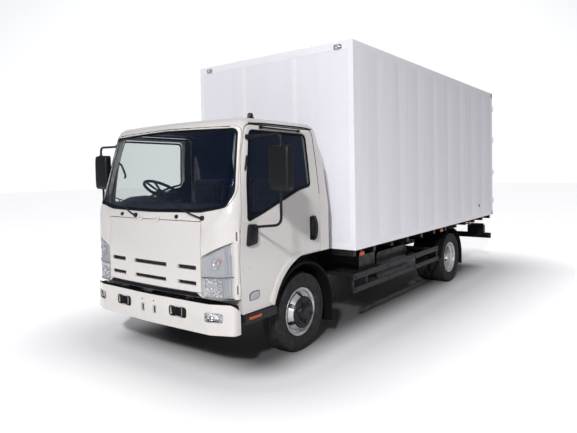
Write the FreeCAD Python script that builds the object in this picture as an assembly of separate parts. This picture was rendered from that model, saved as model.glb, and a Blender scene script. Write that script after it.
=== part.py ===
import FreeCAD, Part
import math
import os

# A light box truck: ladder frame, tilting cab with two doors and a front lid, steered front
# wheels, twin rear wheels and a dry-goods box with two rear doors.  Millimetres.
# X runs to the truck's left, Y rearwards and Z up.  Pieces are placed with y = 0 at the front
# axle; save() then moves them so that the origin lies under the middle of the whole truck.

V = FreeCAD.Vector
UP = V(0, 0, 1)

# --- overall places ---------------------------------------------------------------------------
wheelbase = 3815
front_end = -1110           # foremost point, the bumper
box_front = 677             # front face of the load box
box_rear = 5763             # rear face of the load box
rear_fitting_reach = 37     # lock rods and hinges stand this far behind the box
middle_y = (front_end + box_rear + rear_fitting_reach) / 2

# --- wheels -----------------------------------------------------------------------------------
tyre_radius = 383.5
tyre_width = 211
rim_radius = 222            # bead seat
rim_flange = 14             # height of the flange over the bead seat
rim_width = 152             # between the flanges
rim_metal = 8
disc_metal = 12
disc_offset = 118           # from the wheel's centre plane to the disc's mounting face
disc_flat_radius = 145
hub_radius = 82
hand_hole_radius = 24
hand_hole_circle = 166
hand_holes = 6
front_track = 1680
rear_track = 1690           # between the middles of the twin wheels
drum_radius = 160
axle_height = tyre_radius
running_gap = 0.3           # radial room of a shaft in its bore

# --- steering and axles -----------------------------------------------------------------------
kingpin_track = 1480
kingpin_radius = 18
kingpin_eye_radius = 38
kingpin_eye_height = 90
knuckle_gap = 5
knuckle_ear = 28
spindle_radius = 34
beam_width = 70
beam_depth = 72
rear_tube_radius = 62
diff_radius = 185
spring_width = 70
spring_leaf_stack = 56
spring_half_length = 620
spring_x = 470              # middle of each spring from the centre line

# --- ladder frame -----------------------------------------------------------------------------
frame_width = 850           # over the webs
rail_depth = 216
rail_flange = 70
rail_metal = 7
rail_top = 780
rail_front_top = 620        # the rails are lower under the cab's footwell
rail_front_depth = 170
rail_front = -1062
rail_rear = 5690
rail_drop_start = -440
rail_drop_end = -180
crossmember_width = 110
crossmember_depth = 96

# --- cab --------------------------------------------------------------------------------------
cab_wall = 45               # whole thickness of a panel, inner lining to outer skin
door_gap = 10
trim_gap = 8                # inner fittings stay this far from the doors
lamp_gap = 4
cab_bottom = 570
cab_front_bottom = 710      # underside in front of the doors, over the bumper
cab_chin_y = -903           # where the doors' lower fronts begin
pillar_foot_y = -870        # the pillars' feet end behind this below the front underside
arch_radius = 556
arch_centre_y = 60
arch_centre_z = 400
arch_top = arch_centre_z + arch_radius
footwell_floor = 690
seat_deck = 985
riser_y = -470
roof_seam = 2212
back_seam_y = 385
tilt_pivot_y = -1020
tilt_pivot_z = 520
tilt_tube_radius = 22
tilt_eye_radius = 36
tilt_arm_x = (285, 320)     # each pivot arm under the cab's floor
glass_thickness = 5
glass_depth = 3             # outer face of the glass under the skin

# Plan outline of the cab at each height, left half; the right half mirrors it.
# (z, y_front at the middle, x_turn, y_turn: end of the front face,
#  x_side, y_side: end of the corner, y_back)
cab_sections = [
    (cab_bottom, -1086, 750, -1056, 985, -940, 435),
    (1150, -1086, 750, -1056, 985, -940, 435),
    (1358, -1079, 780, -1042, 985, -928, 435),
    (1430, -1058, 843, -1006, 984, -905, 435),
    (1880, -934, 815, -881, 953, -785, 385),
    (2170, -853, 790, -806, 926, -705, 292),
    (2222, -832, 775, -782, 908, -678, 272),
    (2255, -790, 740, -735, 868, -630, 235),
    (2270, -700, 640, -640, 760, -540, 150),
]
low_corner_top = 1360       # up to here the cab's front corners are rounder
cab_top = cab_sections[-1][0]
cab_half_width = cab_sections[0][4]

# Outline of a cab door's seam, (y, z, corner radius), from the front bottom corner upwards.
door_seam = [
    (-889, cab_bottom, 50), (-914, 760, 300), (-917, 1041, 600), (-876, 1541, 900),
    (-829, 1877, 900), (-742, 2195, 70), (236, 2195, 70), (288, 1560, 300),
    (288, arch_top, 0),
]
door_hinge_x = 980
door_hinge_y = -924
door_hinge_heights = (790, 1240)
door_window = [
    (-820, 1338, 40), (-797, 1708, 900), (-715, 2150, 60), (128, 2150, 60),
    (150, 1622, 45), (-55, 1588, 300), (-583, 1410, 200),
]
# Outline of the windscreen seen from in front, left half, (x, z, corner radius).
windscreen_half = [
    (0, 1424, 0), (650, 1434, 300), (905, 1490, 60), (946, 1600, 200), (878, 2160, 60), (0, 2182, 0),
]
# Outline of the left headlamp seen from in front, (x, z, corner radius).
lamp_outline = [
    (668, 716, 30), (672, 1060, 40), (1010, 1212, 30), (1010, 752, 30), (960, 716, 30),
]
lamp_depth = 90
lamp_rear_y = -966
lamp_tab_z = (850, 900)
lid_half_width = 660
lid_top = 1358
lid_bottom = 752
lid_depth = 28
lid_gap = 6
lid_hinge_y = -1088
lid_hinge_x = (90, 150)     # each small hinge at the lid's top edge
lid_eye_radius = 6
lid_pin_radius = 3
# Grille slots in the lid, (x_from, x_to, z_from, z_to), left half.
lid_slots = [
    (0, 236, 941, 978), (379, 608, 941, 978), (0, 226, 808, 842), (379, 606, 808, 842),
]

# --- mirrors ----------------------------------------------------------------------------------
mirror_centre = V(1282, -724, 1805)
mirror_size = V(218, 76, 372)
mirror_tube_radius = 12
mirror_foot = V(978, -765, 1300)
mirror_bracket = V(925, -752, cab_top - 191)

# --- cab inside -------------------------------------------------------------------------------
dash_rear_y = -740
dash_top = 1500
dash_bottom = 1040
seat_base_height = 175
cushion_height = 130
cushion_front_y = -420
cushion_rear_y = 70
backrest_height = 560
backrest_thickness = 120
backrest_lean = 55
# (x_from, x_to) of each seat: the driver's is on the truck's right.
seat_places = [(-720, -200), (-160, 160), (200, 720)]
wheel_centre = V(-430, -560, 1590)
wheel_rim_radius = 215
wheel_rim_tube = 15
wheel_hub_radius = 70
column_lean = 32            # degrees of the column from upright

# --- front bumper -----------------------------------------------------------------------------
bumper_half_width = 988
bumper_bottom = 412
bumper_top = 672
bumper_side_end = -926
bumper_front_wall = 22
bumper_side_wall = 12
bumper_corner_radius = 100
bumper_corner_setback = 26
bumper_end_length = 98      # the end caps, from where they meet the middle
bumper_end_x = bumper_half_width - bumper_end_length
bumper_slope_low = 604      # the ends slope down here, to let an open door pass as the cab tilts
bumper_slope_front = -1012
bumper_flange = 40
intake_inner_x = 286
intake_outer_x = 495
intake_bottom = 520
intake_height = 80
fog_inner_x = 728
fog_outer_x = 884
fog_bottom = 524
fog_top = 594

# --- steps, guards and things on the frame ----------------------------------------------------
step_front_y = -880
step_rear_y = -462
step_bottom = 480
step_top = 562
step_inner_x = 850
step_outer_x = 998
front_guard_radius = 478
rear_guard_radius = 455
guard_metal = 6
flap_bottom = 180
side_guard_x = 1095
side_guard_front = 750
side_guard_rear = 3225
side_guard_tube = 40
side_rail_low = 430
side_rail_low_height = 57
side_rail_high = 573
side_rail_high_height = 67
underrun_half_width = 1140
underrun_bottom = 470
underrun_height = 99
underrun_depth = 70
lamp_bar_bottom = 715
lamp_bar_height = 25
lamp_bar_half_width = 1012
tail_lamp_inner_x = 728
tail_lamp_outer_x = 1030
tail_lamp_bottom = 574
tail_lamp_depth = 90

# --- engine, shaft and what hangs on the frame ------------------------------------------------
engine_y = (-330, 560)
engine_half = 270
engine_top = 915
engine_foot_y = (20, 420)
engine_foot_width = 90
engine_foot_low = 70        # over the underside of the rails
engine_foot_depth = 60
gearbox_half = 150
gearbox_rear = 1120
gearbox_z = (500, 760)
shaft_front_z = 590
shaft_radius = 45
shaft_end_gap = 98
tank_y = (1560, 2420)
tank_z = (430, 760)
tank_corner = 60
tank_outer_x = 950
tank_stand_off = 60
tank_strap_width = 60
tank_strap_inset = 140
tank_strap_z = (600, 740)
battery_y = (1020, 1400)
battery_z = (540, 800)
battery_outer_x = 1010
silencer_y = (1500, 2350)
silencer_z = (470, 720)
silencer_corner = 90
silencer_outer_x = 845
silencer_stay_width = 50
silencer_stay_inset = 125
silencer_stay_z = (620, 700)
tail_pipe_x = 700
tail_pipe_z = 525
tail_pipe_end = 3010
tail_pipe_radius = 38

# --- load box ---------------------------------------------------------------------------------
box_half_width = 1169
box_bottom = 918
box_top = 3164
box_wall = 40
box_floor = 45
bearer_width = 60
bearer_pitch = 420
portal_post = 60
portal_head = 84
portal_sill = 66
portal_depth = 60
rear_door_thickness = 45
rear_door_gap = 8
rear_hinge_x = box_half_width + 8
rear_hinge_y = box_rear + 22
rear_hinge_heights = (box_bottom + 262, box_bottom + 782, box_top - 864, box_top - 284)
lock_guide_shares = (0.26, 0.5, 0.74)    # middle rod guides, as shares of the door's height
lock_guide_end = 120                     # end guides, from the door's edge
lock_handle_z = box_bottom + 462
lock_rod_radius = 13
lock_rod_x = (150, 640)     # from the centre line, on each door
hinge_pin_radius = 6
hinge_eye_radius = 11
hinge_eye_height = 70
hinge_lug = 12


# --- making shapes ----------------------------------------------------------------------------
def save(node, *shapes):
    """Write one node; its solids keep their places, counted from the truck's middle."""
    solids = [solid for shape in shapes for solid in shape.Solids]
    whole = solids[0] if len(solids) == 1 else Part.makeCompound(solids)
    whole = whole.copy()
    whole.translate(V(0, -middle_y, 0))
    whole.exportStep(f"parts/{node}.step")
    print(f"{node:24s} solids {len(solids):2d} valid {whole.isValid()} litres {whole.Volume / 1e6:9.2f}")


def block(x, y, z):
    """A box from three (low, high) pairs."""
    return Part.makeBox(x[1] - x[0], y[1] - y[0], z[1] - z[0], V(x[0], y[0], z[0]))


def mirrored(shape):
    """The same shape on the truck's other side."""
    return shape.mirror(V(0, 0, 0), V(1, 0, 0))


def pair(shape):
    """Left and right copies."""
    return [shape, mirrored(shape)]


def fused(*shapes):
    """Shapes that overlap or touch, as one solid."""
    return shapes[0].fuse(list(shapes[1:])).removeSplitter()


def outline(points, place):
    """A closed wire through (a, b, corner radius); place turns (a, b) into a point."""
    edges = []
    ends = []
    count = len(points)
    for i, (a, b, radius) in enumerate(points):
        here = V(a, b, 0)
        before = V(*points[i - 1][:2], 0)
        after = V(*points[(i + 1) % count][:2], 0)
        to_before = before - here
        to_after = after - here
        turn = math.pi - to_before.getAngle(to_after)
        if radius == 0 or turn < 1e-4:
            ends.append((here, here, here))
            continue
        cut = radius * math.tan(turn / 2)
        cut = min(cut, 0.49 * to_before.Length, 0.49 * to_after.Length)
        start = here + to_before.normalize() * cut
        end = here + to_after.normalize() * cut
        inward = (start + end) * 0.5 - here
        real_radius = cut / math.tan(turn / 2)
        middle = here + inward.normalize() * (real_radius / math.cos(turn / 2) - real_radius)
        ends.append((start, middle, end))
    for i, (start, middle, end) in enumerate(ends):
        if (end - start).Length > 1e-6:
            edges.append(Part.Arc(place(*start[:2]), place(*middle[:2]), place(*end[:2])).toShape())
        following = ends[(i + 1) % count][0]
        if (following - end).Length > 1e-6:
            edges.append(Part.makeLine(place(*end[:2]), place(*following[:2])))
    return Part.Wire(edges)


def prism_x(points, x_from, x_to):
    """A side-view outline of (y, z, radius) carried along X."""
    face = Part.Face(outline(points, lambda a, b: V(x_from, a, b)))
    return face.extrude(V(x_to - x_from, 0, 0))


def prism_y(points, y_from, y_to):
    """A front-view outline of (x, z, radius) carried along Y."""
    face = Part.Face(outline(points, lambda a, b: V(a, y_from, b)))
    return face.extrude(V(0, y_to - y_from, 0))


def prism_z(points, z_from, z_to):
    """A plan outline of (x, y, radius) carried along Z."""
    face = Part.Face(outline(points, lambda a, b: V(a, b, z_from)))
    return face.extrude(V(0, 0, z_to - z_from))


def rod(start, end, radius):
    """A round bar from one point to another."""
    along = end - start
    return Part.makeCylinder(radius, along.Length, start, along)


def bent_tube(points, radius):
    """A round tube along straight runs, with a ball at each bend."""
    runs = [rod(points[i], points[i + 1], radius) for i in range(len(points) - 1)]
    balls = [Part.makeSphere(radius, point) for point in points[1:-1]]
    return fused(*runs, *balls)


def turned(profile, centre):
    """A profile of (outward distance, radius, corner radius) turned round the axle at centre."""
    face = Part.Face(outline(profile, lambda a, b: V(centre.x + a, centre.y, centre.z + b)))
    return face.revolve(centre, V(1, 0, 0), 360)


def hinge(x, y, z, towards_frame, towards_leaf):
    """One hinge at an upright axis: (leaf eye, room for the eye, frame pin with lugs, room for them).

    towards_frame and towards_leaf are points that the lugs and the eye's strap reach.
    """
    half = hinge_eye_height / 2

    def strap(target, z_from, z_to):
        low = V(x, y, z_from)
        reach = V(target[0], target[1], z_from) - low
        side = V(-reach.y, reach.x, 0).normalize() * (hinge_eye_radius * 0.6)
        corners = [low + side, low + reach + side, low + reach - side, low - side]
        plate = Part.Face(Part.makePolygon(corners + corners[:1])).extrude(V(0, 0, z_to - z_from))
        knuckle = Part.makeCylinder(hinge_eye_radius, z_to - z_from, low)
        return fused(knuckle, plate)

    bore = Part.makeCylinder(hinge_pin_radius + running_gap, hinge_eye_height, V(x, y, z - half))
    eye = strap(towards_leaf, z - half, z + half).cut(bore)
    eye_room = Part.makeCylinder(hinge_eye_radius + 16, hinge_eye_height + 10, V(x, y, z - half - 5))
    pin_height = hinge_eye_height + 2 * (hinge_lug + 1)
    pin = Part.makeCylinder(hinge_pin_radius, pin_height, V(x, y, z - pin_height / 2))
    lugs = [strap(towards_frame, z + half + 1, z + half + 1 + hinge_lug),
            strap(towards_frame, z - half - 1 - hinge_lug, z - half - 1)]
    room = Part.makeCylinder(hinge_eye_radius + 5, pin_height + 10, V(x, y, z - pin_height / 2 - 5))
    return eye, eye_room, fused(pin, *lugs), room


# --- wheels, hubs and axles -------------------------------------------------------------------
def tyre(centre):
    half = tyre_width / 2
    seat = rim_width / 2
    bead = rim_radius + rim_flange + 2
    profile = [
        (-seat + 1, rim_radius, 0), (-seat + 1, bead, 0), (-half, rim_radius + 62, 60),
        (-half, tyre_radius - 60, 40),
        (-half + 18, tyre_radius, 26), (half - 18, tyre_radius, 26), (half, tyre_radius - 60, 40),
        (half, rim_radius + 62, 60), (seat - 1, bead, 0), (seat - 1, rim_radius, 0),
    ]
    return turned(profile, centre)


def rim(centre, outward):
    """Rim barrel and disc; outward is +1 or -1, the way the disc's face is set off."""
    edge = rim_width / 2 + 12
    seat = rim_width / 2
    well = rim_radius - 30
    flange = rim_radius + rim_flange
    barrel = turned([
        (edge, flange, 4), (seat + 1, flange, 4), (seat, rim_radius, 0), (40, rim_radius - 3, 0),
        (30, well, 8), (-30, well, 8), (-40, rim_radius - 3, 0), (-seat, rim_radius, 0),
        (-seat - 1, flange, 4), (-edge, flange, 4), (-edge, flange - 6, 0),
        (-seat, rim_radius - rim_metal, 6), (-44, rim_radius - 3 - rim_metal, 0),
        (-34, well - rim_metal, 8), (34, well - rim_metal, 8), (44, rim_radius - 3 - rim_metal, 0),
        (seat, rim_radius - rim_metal, 6), (edge, flange - 6, 0),
    ], centre)
    face = disc_offset
    back = disc_offset - disc_metal
    disc = turned([
        (outward * 20, well - rim_metal + 2, 0), (outward * 34, well - rim_metal + 2, 0),
        (outward * 62, well - 12, 20), (outward * face, disc_flat_radius, 16),
        (outward * face, hub_radius, 0), (outward * back, hub_radius, 0),
        (outward * back, disc_flat_radius - 6, 16), (outward * 56, well - 24, 20),
        (outward * 20, well - rim_metal - 8, 0),
    ], centre)
    wheel = barrel.fuse(disc)
    for i in range(hand_holes):
        angle = 2 * math.pi * (i + 0.5) / hand_holes
        spot = centre + V(outward * 20, hand_hole_circle * math.cos(angle), hand_hole_circle * math.sin(angle))
        drill = Part.makeCylinder(hand_hole_radius, outward * disc_offset if outward > 0 else disc_offset,
                                  spot, V(outward, 0, 0))
        wheel = wheel.cut(drill)
    return wheel


def hub(centre, face_a, spindle_end, cap_end, drum_inner):
    """Hub with brake drum, bored for its spindle; distances run outwards from centre."""
    bore = spindle_radius + running_gap
    return turned([
        (drum_inner, bore, 0), (spindle_end + 6, bore, 0), (spindle_end + 6, 0, 0), (cap_end, 0, 0),
        (cap_end, hub_radius - 30, 10), (face_a + 18, hub_radius - 2, 6), (face_a, hub_radius - 2, 0),
        (face_a, disc_flat_radius - 10, 4), (face_a - 16, drum_radius, 4), (drum_inner, drum_radius, 4),
        (drum_inner, drum_radius - 12, 0), (face_a - 30, drum_radius - 12, 0),
        (face_a - 30, hub_radius - 14, 0), (drum_inner, hub_radius - 14, 0),
    ], centre)


front_wheel_x = front_track / 2
kingpin_x = kingpin_track / 2
front_wheel_centre = V(front_wheel_x, 0, axle_height)
front_mount_face = disc_offset - disc_metal
front_spindle_end = 96
web_x = kingpin_x + kingpin_eye_radius + knuckle_gap
web_metal = 22
backing_x = web_x + web_metal       # inner face of the front brake's backing plate
front_tyre = tyre(front_wheel_centre)
front_rim = rim(front_wheel_centre, 1).fuse(
    hub(front_wheel_centre, front_mount_face, front_spindle_end, 158, backing_x + 14 - front_wheel_x))
for side, make in (("left", lambda s: s), ("right", mirrored)):
    save(f"front_tyre_{side}", make(front_tyre))
    save(f"front_rim_{side}", make(front_rim))

rear_y = wheelbase
rear_middle = V(rear_track / 2, rear_y, axle_height)
rear_outer_centre = rear_middle + V(disc_offset, 0, 0)
rear_inner_centre = rear_middle - V(disc_offset, 0, 0)
rear_drum_inner = -150
rear_spindle_end = 60
rear_hub = hub(rear_middle, -disc_metal, rear_spindle_end, 120, rear_drum_inner)
rear_rims = rim(rear_outer_centre, -1).fuse([rim(rear_inner_centre, 1), rear_hub])
for side, make in (("left", lambda s: s), ("right", mirrored)):
    save(f"rear_tyres_{side}", make(tyre(rear_outer_centre)), make(tyre(rear_inner_centre)))
    save(f"rear_rims_{side}", make(rear_rims))

# Front knuckle: ears above and below the beam's eye, kingpin, spindle and backing plate.
kingpin = V(kingpin_x, 0, axle_height)
ear_from = kingpin_eye_height / 2 + knuckle_gap
ear_to = ear_from + knuckle_ear
spindle_end_x = front_wheel_x + front_spindle_end
knuckle = fused(
    Part.makeCylinder(kingpin_radius, 2 * ear_to, kingpin - UP * ear_to),
    *[Part.makeCylinder(kingpin_eye_radius, knuckle_ear, kingpin + UP * z) for z in (ear_from, -ear_to)],
    *[block((kingpin_x, web_x + 1), (-30, 30), (axle_height + z, axle_height + z + knuckle_ear))
      for z in (ear_from, -ear_to)],
    block((web_x, web_x + web_metal), (-44, 44), (axle_height - ear_to, axle_height + ear_to)),
    rod(V(web_x, 0, axle_height), V(spindle_end_x, 0, axle_height), spindle_radius),
    Part.makeCylinder(drum_radius - 16, 10, V(backing_x, 0, axle_height), V(1, 0, 0)).cut(
        Part.makeCylinder(spindle_radius - 4, 10, V(backing_x, 0, axle_height), V(1, 0, 0))),
    block((kingpin_x - 16, kingpin_x + 16), (20, 175), (axle_height - ear_to, axle_height - ear_from)),
)
save("knuckle_left", knuckle)
save("knuckle_right", mirrored(knuckle))

# Front beam: eyes for the kingpins, dropped in the middle to pass under the engine.
beam_low = axle_height - 62
eye = Part.makeCylinder(kingpin_eye_radius, kingpin_eye_height, kingpin - UP * (kingpin_eye_height / 2))
beam_half = [
    (0, beam_low - beam_depth / 2, 0), (560, beam_low - beam_depth / 2, 60),
    (kingpin_x - 50, axle_height - 40, 20), (kingpin_x, axle_height - 36, 0),
    (kingpin_x, axle_height + 36, 0), (kingpin_x - 60, axle_height + 36, 20),
    (560, beam_low + beam_depth / 2, 60), (0, beam_low + beam_depth / 2, 0),
]
half_beam = prism_y(beam_half, -beam_width / 2, beam_width / 2).fuse(eye)
pin_bore = Part.makeCylinder(kingpin_radius + running_gap, 2 * ear_to, kingpin - UP * ear_to)
half_beam = half_beam.cut(pin_bore)
save("front_axle_beam", fused(half_beam, mirrored(half_beam)))

# Rear axle: tubes, round differential casing and the spindles that carry the twin wheels.
rear_spindle_x = rear_track / 2 + rear_spindle_end
rear_backing_x = rear_track / 2 + rear_drum_inner - 16
rear_axle = fused(
    rod(V(-rear_backing_x, rear_y, axle_height), V(rear_backing_x, rear_y, axle_height), rear_tube_radius),
    rod(V(-rear_spindle_x, rear_y, axle_height), V(rear_spindle_x, rear_y, axle_height), spindle_radius),
    turned([(-120, 0, 0), (-120, diff_radius - 60, 40), (-60, diff_radius, 50), (60, diff_radius, 50),
            (120, diff_radius - 60, 40), (120, 0, 0)], V(0, rear_y, axle_height)),
    rod(V(0, rear_y - diff_radius - 90, axle_height + 10), V(0, rear_y, axle_height + 10), 70),
    *pair(rod(V(rear_backing_x, rear_y, axle_height), V(rear_backing_x + 10, rear_y, axle_height),
              drum_radius - 16)),
)
save("rear_axle", rear_axle)


# --- ladder frame -----------------------------------------------------------------------------
web_x_outer = frame_width / 2
rail_bottom = rail_top - rail_depth
rail_side = [
    (rail_front, rail_front_top - rail_front_depth, 20),
    (rail_drop_start, rail_front_top - rail_front_depth, 150),
    (rail_drop_end, rail_bottom, 150), (rail_rear, rail_bottom, 0), (rail_rear, rail_top, 0),
    (rail_drop_end, rail_top, 150), (rail_drop_start, rail_front_top, 150), (rail_front, rail_front_top, 20),
]
rail_hollow = [
    (rail_front - 1, rail_front_top - rail_front_depth + rail_metal, 0),
    (rail_drop_start, rail_front_top - rail_front_depth + rail_metal, 150),
    (rail_drop_end, rail_bottom + rail_metal, 150), (rail_rear + 1, rail_bottom + rail_metal, 0),
    (rail_rear + 1, rail_top - rail_metal, 0), (rail_drop_end, rail_top - rail_metal, 150),
    (rail_drop_start, rail_front_top - rail_metal, 150), (rail_front - 1, rail_front_top - rail_metal, 0),
]
rail = prism_x(rail_side, web_x_outer - rail_flange, web_x_outer).cut(
    prism_x(rail_hollow, web_x_outer - rail_flange - 1, web_x_outer - rail_metal))
save("frame_rails", *pair(rail))

web_inner = web_x_outer - rail_metal
crossmember_ys = [1330, 2180, 3030, 4400, 5100, rail_rear - crossmember_width]
cross_low = rail_bottom + (rail_depth - crossmember_depth) / 2
front_cross_low = rail_front_top - (rail_front_depth + crossmember_depth) / 2
front_cross_y = tilt_pivot_y + 190
crossmembers = [block((-web_inner, web_inner), (front_cross_y, front_cross_y + crossmember_width),
                      (front_cross_low, front_cross_low + crossmember_depth))]
tilt_tube = rod(V(-web_inner, tilt_pivot_y, tilt_pivot_z), V(web_inner, tilt_pivot_y, tilt_pivot_z),
                tilt_tube_radius)
for y in crossmember_ys[:-1]:
    crossmembers.append(block((-web_inner, web_inner), (y, y + crossmember_width),
                              (cross_low, cross_low + crossmember_depth)))
coupling_hole_radius = 8.5
coupling_spacing_x = 160
coupling_spacing_z = 100
coupling_plate = block((-150, 150), (rail_rear, rail_rear + 16), (rail_bottom + 12, rail_top))
for x in (-coupling_spacing_x / 2, coupling_spacing_x / 2):
    for z in (-coupling_spacing_z / 2, coupling_spacing_z / 2):
        drill = Part.makeCylinder(coupling_hole_radius, 16,
                                      V(x, rail_rear, cross_low + crossmember_depth / 2 + z),
                                  V(0, 1, 0))
        coupling_plate = coupling_plate.cut(drill)
rear_crossmember = block((-web_inner, web_inner), (crossmember_ys[-1], rail_rear),
                         (cross_low, cross_low + crossmember_depth)).fuse(coupling_plate)
save("frame_crossmembers", *crossmembers, rear_crossmember, tilt_tube)


# --- leaf springs with their seats and hangers ------------------------------------------------
def leaf_spring(y_axle, seat_z, end_z, rail_z):
    """One spring pack: flat seat on the axle, ends rising to hangers under the rail."""
    low, high = spring_x - spring_width / 2, spring_x + spring_width / 2
    pack = prism_x([
        (y_axle - spring_half_length, end_z, 12), (y_axle - 90, seat_z, 300), (y_axle + 90, seat_z, 300),
        (y_axle + spring_half_length, end_z, 12), (y_axle + spring_half_length, end_z + 16, 0),
        (y_axle + 90, seat_z + spring_leaf_stack, 400), (y_axle - 90, seat_z + spring_leaf_stack, 400),
        (y_axle - spring_half_length, end_z + 16, 0)], low, high)
    for end in (-1, 1):
        y_end = y_axle + end * spring_half_length
        hanger = prism_x([
            (y_end - 34, end_z - 24, 20), (y_end + 34, end_z - 24, 20), (y_end + 60, rail_z(y_end), 0),
            (y_end - 60, rail_z(y_end), 0)], web_x_outer + 1e-3 - 12, high)
        arm = block((web_x_outer, high), (y_end - 60, y_end + 60), (rail_z(y_end), rail_z(y_end) + 90))
        pack = pack.fuse([hanger, arm])
    return pack.removeSplitter()


def rail_under(y):
    """Height of the rail's underside."""
    return rail_front_top - rail_front_depth if y < rail_drop_start else rail_bottom


front_seat_z = beam_low + beam_depth / 2
rear_seat_z = axle_height + rear_tube_radius + 14
front_spring = leaf_spring(0, front_seat_z, front_seat_z + 46, rail_under)
rear_spring = leaf_spring(rear_y, rear_seat_z, rear_seat_z + 30, rail_under)
rear_pad = block((spring_x - 50, spring_x + 50), (rear_y - 80, rear_y + 80), (axle_height, rear_seat_z))
rear_pad = rear_pad.cut(rod(V(0, rear_y, axle_height), V(900, rear_y, axle_height), rear_tube_radius))
save("leaf_springs", *pair(front_spring), *pair(rear_spring.fuse(rear_pad)))


# --- engine, gearbox and shaft ----------------------------------------------------------------
engine_feet = [block((-web_inner, web_inner), (y, y + engine_foot_width),
                     (rail_bottom + engine_foot_low, rail_bottom + engine_foot_low + engine_foot_depth))
                    for y in engine_foot_y]
save("engine_block", fused(
                       block((-engine_half, engine_half), engine_y, (front_seat_z + spring_width, engine_top)),
                            *engine_feet))
gearbox = block((-gearbox_half, gearbox_half), (engine_y[1], gearbox_rear), gearbox_z)
shaft = rod(V(0, gearbox_rear, shaft_front_z), V(0, rear_y - diff_radius - shaft_end_gap, axle_height + 10),
            shaft_radius)
save("driveline", gearbox.fuse(shaft))


# --- tank, battery box and exhaust on the frame -----------------------------------------------

def barrel_x(y, z, corner, x_from, x_to):
    """A long drum across the truck with rounded edges, between two y and two z."""
    return prism_x([(y[0], z[0], corner), (y[1], z[0], corner), (y[1], z[1], corner), (y[0], z[1], corner)],
                   x_from, x_to)


tank = barrel_x(tank_y, tank_z, tank_corner, web_x_outer + tank_stand_off, tank_outer_x)
tank_straps = [block((web_x_outer, web_x_outer + tank_stand_off), (y, y + tank_strap_width), tank_strap_z)
               for y in (tank_y[0] + tank_strap_inset, tank_y[1] - tank_strap_inset - tank_strap_width)]
save("fuel_tank", tank.fuse(tank_straps))
battery = block((web_x_outer, battery_outer_x), battery_y, battery_z)
save("battery_box", battery)
silencer = barrel_x(silencer_y, silencer_z, silencer_corner, -silencer_outer_x, -web_x_outer - tank_stand_off)
silencer_stays = [
    block((-web_x_outer - tank_stand_off, -web_x_outer), (y, y + silencer_stay_width), silencer_stay_z)
    for y in (silencer_y[0] + silencer_stay_inset, silencer_y[1] - silencer_stay_inset)]
tail_pipe = rod(V(-tail_pipe_x, silencer_y[1], tail_pipe_z), V(-tail_pipe_x, tail_pipe_end, tail_pipe_z),
                tail_pipe_radius)
save("exhaust", silencer.fuse([tail_pipe, *silencer_stays]))


# --- front bumper -----------------------------------------------------------------------------
def bumper_form(front_inset, side_inset, z_from, z_to):
    half = bumper_half_width - side_inset
    front = front_end + front_inset
    shoulder = front + bumper_corner_setback
    corner = bumper_corner_radius - side_inset
    return prism_z([
        (-half, bumper_side_end, 0), (-half, shoulder + 88, corner), (-half + 212, shoulder, 200),
        (0, front - 2, 3000), (half - 212, shoulder, 200), (half, shoulder + 88, corner),
        (half, bumper_side_end, 0)], z_from, z_to)


bumper = bumper_form(0, 0, bumper_bottom, bumper_top)
hollow = bumper_form(bumper_front_wall, bumper_side_wall, bumper_bottom + 14, bumper_top - 14)
top_opening = bumper_form(bumper_front_wall + bumper_flange, bumper_side_wall, bumper_bottom, bumper_top)
# The doors' lower front corners swing past the bumper's ends when the cab tilts.
door_sweep = block((bumper_end_x, bumper_half_width - 14), (bumper_side_end - 78, bumper_side_end),
                   (bumper_top - 60, bumper_top))
slope = prism_x([(bumper_side_end + 1, bumper_slope_low, 0), (bumper_slope_front, bumper_top + 1, 0),
                 (bumper_side_end + 1, bumper_top + 1, 0)], bumper_end_x, bumper_half_width + 10)
bumper = bumper.cut([hollow, top_opening, *pair(door_sweep), *pair(slope)])
for x_from, x_to, z_from, z_to in (
        (intake_inner_x, intake_outer_x, intake_bottom, intake_bottom + intake_height),
        (fog_inner_x, fog_outer_x, fog_bottom, fog_top)):
    for hole in pair(prism_y([(x_from, z_from, 26), (x_to, z_from, 26), (x_to, z_to, 26), (x_from, z_to, 26)],
                             front_end - 10, front_end + 120)):
        bumper = bumper.cut(hole)
bumper_stays = pair(
    block((web_x_outer - rail_flange, web_x_outer), (front_end + bumper_front_wall + 1, rail_front),
                          (rail_front_top - rail_front_depth, rail_front_top)))
bumper_end = bumper.common(block((bumper_end_x, bumper_half_width + 10), (front_end - 50, 0), (0, cab_top)))
bumper_middle = bumper.common(block((-bumper_end_x, bumper_end_x), (front_end - 50, 0), (0, cab_top)))
save("front_bumper", bumper_middle, *pair(bumper_end), *bumper_stays)
fog_lamp = prism_y([(fog_inner_x, fog_bottom, 26), (fog_outer_x, fog_bottom, 26), (fog_outer_x, fog_top, 26),
                    (fog_inner_x, fog_top, 26)], front_end - 10, front_end + 130)
fog_lamp = fog_lamp.common(bumper_form(12, 12, fog_bottom, fog_top)).cut(
    bumper_form(95, 12, fog_bottom, fog_top))
save("fog_lamps", *pair(fog_lamp))


# --- steps, mudguards and side guards ---------------------------------------------------------
step = prism_x([(step_front_y, step_bottom, 20), (step_rear_y, step_bottom, 20),
                (step_rear_y, step_top, 12), (step_front_y, step_top, 12)], step_inner_x, step_outer_x)
step_arm = block((web_x_outer, step_inner_x), (-780, -720),
                 (rail_front_top - rail_front_depth + 20, step_bottom + 60))
save("cab_steps", *pair(step.fuse(step_arm)))


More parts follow.
